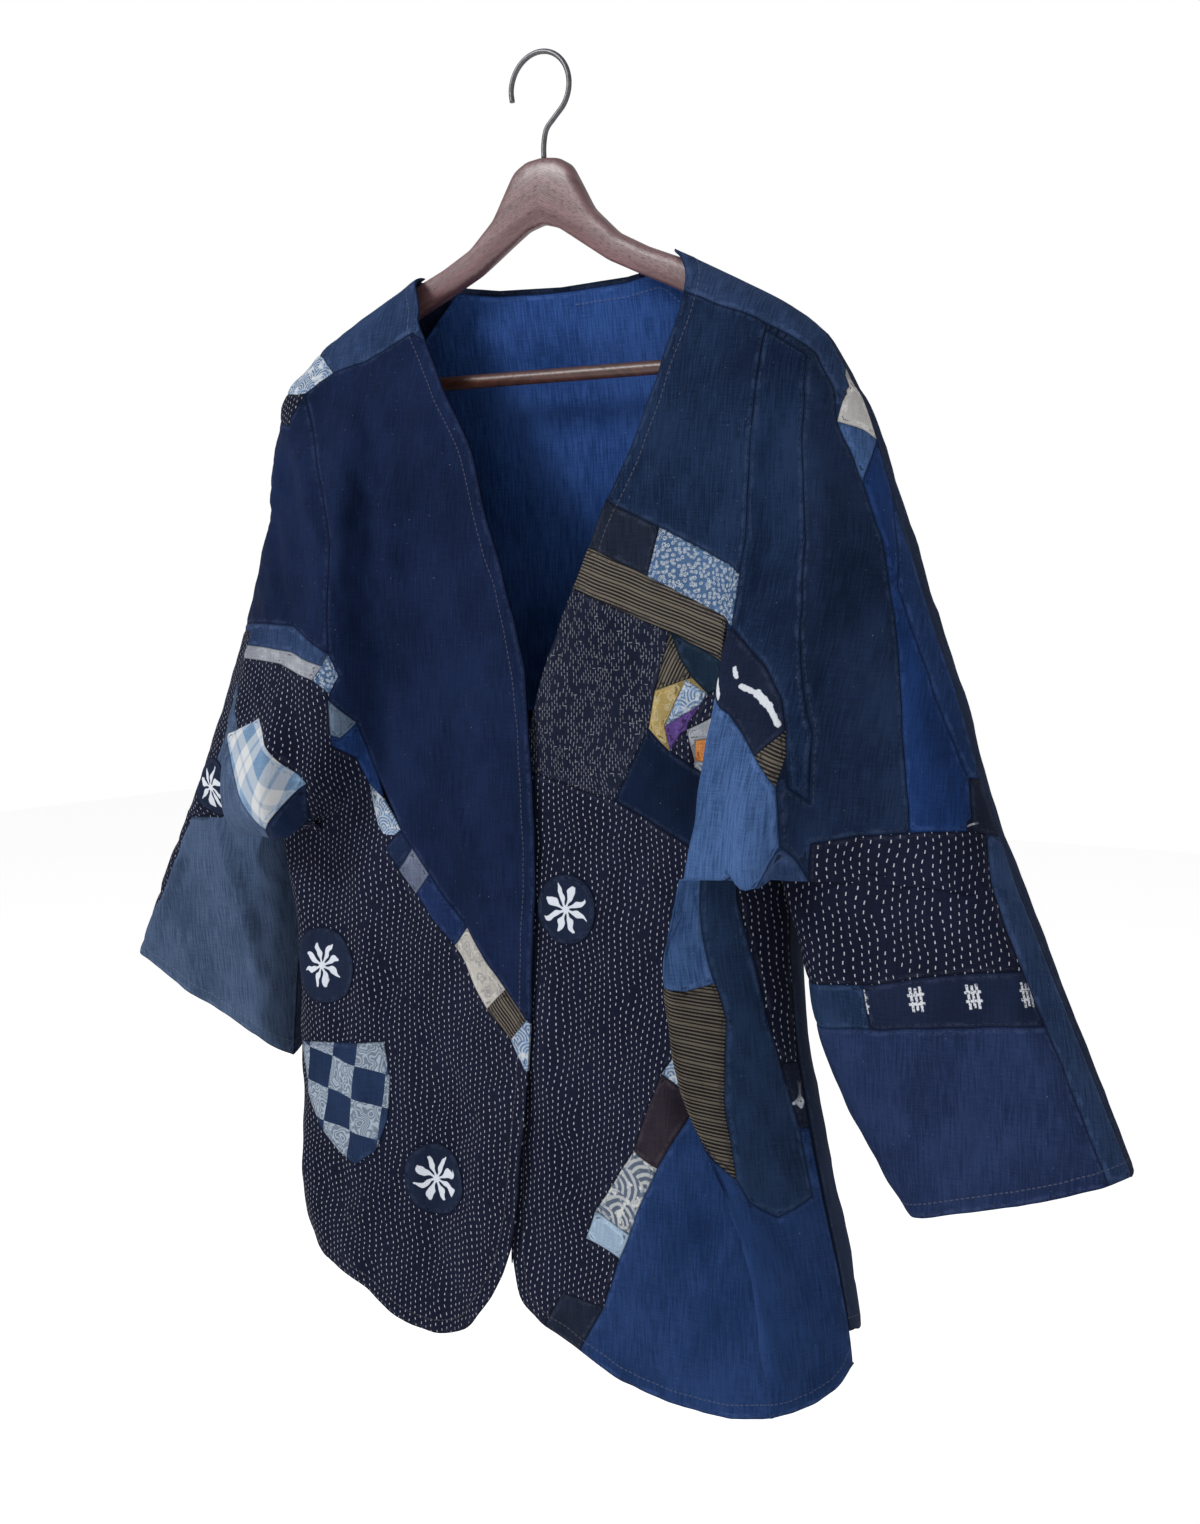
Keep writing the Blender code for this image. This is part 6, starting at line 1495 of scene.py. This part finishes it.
    def fronts(self) -> None:
        """Both fronts and lower sleeves."""
        for side in ("right", "left"):
            rows = [Patch(n, zone, cloth, tuple(metres(ring)), (n,)) for n, zone, cloth, ring in FRONT_PIECES[side]]
            rows += [Patch(n, zone, cloth, tuple(metres(ring))) for n, its, zone, cloth, ring in TRIMS if its == side]
            self.sew(Chart(side, "front", ("upper", "body")), rows + self.circles(side), FINE)
            rows = [Patch(n, "sleeve", cloth, tuple(metres(ring)), (n,)) for n, cloth, ring in SLEEVE_PIECES[side]]
            rows += [Patch(n, "sleeve", cloth, tuple(metres(ring))) for n, cloth, ring in SLEEVE_TRIMS[side]]
            self.sew(Chart(side, "front", ("sleeve",)), rows, FINE)

    def backs(self) -> None:
        """The back, its lower sleeves and the lining."""
        whole = tuple(metres([(-10, 0), (60, 0), (60, -95), (-10, -95)]))
        for side in ("right", "left"):
            rows = [Patch(name + side, zone, "back_cloth", whole, (name + side,))
                    for name, zone in (("back_upper_", "upper"), ("back_lower_", "body"))]
            self.sew(Chart(side, "back", ("upper", "body")), rows, BACK_FINE)
            rows = [Patch("sleeve_back_" + side, "sleeve", "back_cloth", whole, ("sleeve_back_" + side,))]
            self.sew(Chart(side, "back", ("sleeve",)), rows, BACK_FINE)

    def lining(self) -> None:
        """The bright lining inside the back neck."""
        left, right = Sheet("left", "back", "upper"), Sheet("right", "back", "upper")
        half = [(0.012, -0.145), (0.05, -0.1435), (0.08, -0.139), (0.118, -0.172), (0.145, -0.235), (0.145, -0.42)]
        ring = half[::-1] + [(-x, y) for x, y in half]
        edge = np.array([(x, y) for x, y in ring[5:0:-1]][::-1])
        a = np.array(ring)
        after = np.roll(a, -1, axis=0)
        steps = [a[i] + (after[i] - a[i]) * t for i in range(len(a)) for t in np.linspace(0, 1, 12)[:-1]]
        x, y = np.meshgrid(np.arange(-0.145, 0.146, 0.005), np.arange(-0.42, -0.135, 0.005))
        grid = np.stack([x.ravel(), y.ravel()], 1)
        outline = np.array(steps)
        grid = grid[inside_polygon(grid, ring)]
        grid = grid[nearest_edge(grid, outline, np.roll(outline, -1, axis=0))[0] > 0.002]
        points = [tuple(v) for v in outline] + [tuple(v) for v in grid]
        links = [(i, (i + 1) % len(outline)) for i in range(len(outline))]
        verts, triangles = triangulate(points, links)
        triangles = triangles[inside_polygon(verts[triangles].mean(1), ring)]
        out = np.abs(verts[:, 0])
        spots = np.where((verts[:, 0] >= 0)[:, None], left.at(out, verts[:, 1]), right.at(out, verts[:, 1]))
        normals = normals_of(spots, triangles, -1.0)
        waves = 0.0 * out - WALL - LINING_GAP + 0.0004 * np.sin(verts[:, 0] * 190 + 9 * verts[:, 1])
        surface, area = self.piece(verts, triangles, waves, (spots, normals), [edge], "pieced", "back")
        patch = Patch("lining", "both", "lining", tuple(ring), ("lining_back",))
        self.hang(patch, surface, area, verts)


class HangerMaker:
    """Wooden hanger with its bar and wire hook."""

    @staticmethod
    def wood(name: str, dark: Colour, light: Colour, scale: float) -> bpy.types.Material:
        """Satin wood with grain along the arms.

        Args:
            name: the material's name.
            dark: colour of the grain.
            light: colour between.
            scale: how close the growth rings are.

        Returns:
            The material.
        """
        g = Graph(name)
        x, y, z = (axis * 100.0 for axis in g.spot())
        lean = z * 1.0 + abs(x) * 0.45
        warp = g.noise(x * 0.12, lean * 0.9 + y * 0.5, 2.0)
        rings = ((lean * 5.0 + warp * 9.0 + y * 2.0) * scale).sin() * 0.5 + 0.5
        fine = g.noise(x * 0.7, lean * 30.0 + y * 26.0, 3.0)
        pores = g.noise(x * 2.0, lean * 60.0 + y * 50.0, 1.0).ramp(0.66, 0.74)
        tone = (rings * 0.12 + fine * 0.50 + warp * 0.38).ramp(0.30, 0.75)
        colour = g.mix(pores * 0.5, g.mix(tone, dark, light), tuple(0.4 * c for c in dark))
        rough = 0.36 + fine * 0.14
        return g.finish(colour, fine * 0.5 - pores * 0.5, 0.0002, rough, Coat_Weight=0.25, Coat_Roughness=0.25)

    @staticmethod
    def steel() -> bpy.types.Material:
        """Dull dark wire with fine scratches."""
        g = Graph("hook_steel")
        x, y, z = (axis * 100.0 for axis in g.spot())
        haze = g.noise(x * 3.0 + y, z * 3.0, 3.0)
        lines = g.noise(x * 40.0 + y * 30.0, z * 40.0, 1.0)
        colour = g.mix(haze, (0.05, 0.05, 0.055), (0.16, 0.16, 0.17))
        return g.finish(colour, lines, 0.00005, 0.28 + haze * 0.2, Metallic=1.0)

    @staticmethod
    def tube(rings: np.ndarray) -> Surface:
        """Closed skin over rings of points.

        Args:
            rings: ring by ring, the same count of points in each.

        Returns:
            Two triangles between each pair of neighbours on neighbouring rings, and a fan at each end.
        """
        count, size = rings.shape[:2]
        k, i = np.meshgrid(np.arange(count - 1), np.arange(size), indexing="ij")
        a, b = (k * size + i).ravel(), (k * size + (i + 1) % size).ravel()
        sides = np.vstack([np.stack([a, b, b + size], 1), np.stack([a, b + size, a + size], 1)])
        turn, after = np.arange(size), (np.arange(size) + 1) % size
        last = (count - 1) * size
        caps = [np.stack([after, turn, np.full(size, count * size)], 1),
                np.stack([last + turn, last + after, np.full(size, count * size + 1)], 1)]
        verts = np.vstack([rings.reshape(-1, 3), rings[0].mean(0), rings[-1].mean(0)])
        return Surface(verts, np.vstack([sides] + caps))

    def arms(self) -> Surface:
        """Both arms.

        Returns:
            Along x, a section of 32 points at each of 421 stations: a squared ellipse between the smoothed top and
            underside curves, 12.8 mm from front to back and thinner at the tips.
        """
        top, foot = np.array(ARM_TOP), np.array(ARM_FOOT[::-1])
        x = np.linspace(-0.1925, 0.1925, 421)
        high, low = np.interp(abs(x), top[:, 0], top[:, 1]), np.interp(abs(x), foot[:, 0], foot[:, 1])
        kernel = np.hanning(11) / np.hanning(11).sum()
        high, low = (np.convolve(np.pad(v, 5, mode="edge"), kernel, "valid") for v in (high, low))
        t = np.linspace(0, 2 * np.pi, 33)[:-1]
        c, s = np.cos(t), np.sin(t)
        round_y, round_z = np.sign(c) * abs(c) ** 0.55, np.sign(s) * abs(s) ** 0.72
        half = 0.0064 * np.sqrt(np.clip(1 - ((abs(x) - 0.186) / 0.0075).clip(0, 1) ** 2, 0.12, 1))
        middle, tall = (high + low) / 2, (high - low) / 2
        rings = np.stack([np.broadcast_to(x[:, None], (len(x), 32)), half[:, None] * round_y,
                          middle[:, None] + tall[:, None] * round_z], 2)
        return self.tube(rings)

    def hook(self) -> Surface:
        """Wire hook: a round section carried along the hook's smooth line, turned with its direction."""
        angles = np.radians(np.linspace(-38, 196, 15))
        bend = [(HOOK_CENTRE[0] + HOOK_RADIUS * np.cos(a), HOOK_CENTRE[1] + HOOK_RADIUS * np.sin(a)) for a in angles]
        path = curve([(0.0, ARM_TOP[0][1] - 0.0003), (0.0, -0.056), (0.002, -0.047), (0.008, -0.0405)] + bend, 8)
        along = np.gradient(path, axis=0)
        along /= np.linalg.norm(along, axis=1)[:, None]
        t = np.linspace(0, 2 * np.pi, 21)[:-1]
        x = path[:, :1] - WIRE * np.cos(t) * along[:, 1:]
        z = path[:, 1:] + WIRE * np.cos(t) * along[:, :1]
        return self.tube(np.stack([x, np.broadcast_to(WIRE * np.sin(t), x.shape), z], 2))

    def bar(self) -> Surface:
        """Round trouser bar, a little thicker in its middle."""
        x = np.linspace(-BAR_HALF, BAR_HALF, 60)
        t = np.linspace(0, 2 * np.pi, 33)[:-1]
        radius = BAR_RADIUS * (1 - 0.06 * (x / BAR_HALF) ** 4)
        rings = np.stack([np.broadcast_to(x[:, None], (60, 32)), radius[:, None] * np.cos(t),
                          BAR_HEIGHT + radius[:, None] * np.sin(t)], 2)
        return self.tube(rings)

    def build(self) -> None:
        """Make the hanger's three pieces."""
        arm_wood = self.wood("hanger_wood", (0.078, 0.034, 0.037), (0.158, 0.080, 0.086), 1.0)
        bar_wood = self.wood("bar_wood", (0.030, 0.009, 0.006), (0.088, 0.027, 0.018), 1.6)
        for node, surface, material, slot in (("hanger_body", self.arms(), arm_wood, "wood"),
                                              ("trouser_bar", self.bar(), bar_wood, "bar_wood"),
                                              ("hook", self.hook(), self.steel(), "steel")):
            obj = surface.place("fine_" + node, material)
            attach(obj, "root")
            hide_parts(node)
            log.info("%s: %d faces", obj.name, len(surface.faces))


class Studio:
    """Pale floor, soft light and the camera."""

    @staticmethod
    def lamp(name: str, spot: tuple[float, float, float], size: float, power: float) -> bpy.types.Object:
        """Large soft light turned to the jacket's middle.

        Args:
            name: its name.
            spot: its place.
            size: its side in metres.
            power: its power in watts.

        Returns:
            The light.
        """
        light = bpy.data.lights.new(name, "AREA")
        light.size, light.energy = size, power
        obj = bpy.data.objects.new(name, light)
        obj.location = spot
        obj.rotation_euler = (Vector(LAMP_AIM) - Vector(spot)).to_track_quat("-Z", "Y").to_euler()
        bpy.context.scene.collection.objects.link(obj)
        return obj

    def build(self) -> None:
        """Make the studio."""
        g = Graph("floor_paper")
        x, y, _ = g.spot()
        grain = g.noise(x * 40.0, y * 40.0, 2.0)
        colour = g.mix(grain, (0.90, 0.90, 0.90), (0.93, 0.93, 0.93))
        paper = g.finish(colour, grain, 0.0002, 0.9, Emission_Strength=FLOOR_GLOW)
        square = [(x * FLOOR_HALF, y * FLOOR_HALF, FLOOR_HEIGHT) for x, y in ((-1, -1), (1, -1), (1, 1), (-1, 1))]
        floor = Surface(np.array(square), np.array([[0, 1, 2, 3]])).place("floor", paper)
        lamps = [self.lamp("key", *KEY_LAMP), self.lamp("fill", *FILL_LAMP)]
        world = bpy.data.worlds.new("studio")
        sky = Graph("studio", world)
        seen = sky.wire("ShaderNodeLightPath", {}, {}, "Is Camera Ray")
        strength = sky.wire("ShaderNodeMapRange", {}, {"Value": seen, "To Min": WORLD_LIGHT, "To Max": WORLD_SEEN})
        shade = sky.wire("ShaderNodeBackground", {}, {"Color": (1.0, 1.0, 1.0, 1.0), "Strength": strength})
        sky.node("ShaderNodeOutputWorld", {}, {0: shade})
        bpy.context.scene.world = world
        bpy.context.scene.view_settings.view_transform = "Standard"

    @staticmethod
    def camera() -> None:
        """Camera at the photo's place and angle."""
        data = bpy.data.cameras.new("photo_camera")
        data.lens, data.sensor_width = CAMERA_LENS, CAMERA_SENSOR
        obj = bpy.data.objects.new("photo_camera", data)
        obj.location = CAMERA_SPOT
        obj.rotation_euler = (np.radians(CAMERA_TILT), 0.0, np.radians(CAMERA_TURN))
        bpy.context.scene.collection.objects.link(obj)
        bpy.context.scene.camera = obj


def main() -> None:
    """Build the looks, each piece over its node of the CAD."""
    logging.basicConfig(level=logging.INFO, format="%(message)s")
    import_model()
    studio = Studio()
    studio.camera()
    tailor = Tailor()
    tailor.fronts()
    tailor.backs()
    tailor.lining()
    HangerMaker().build()
    studio.build()


if __name__ == "__main__":
    main()
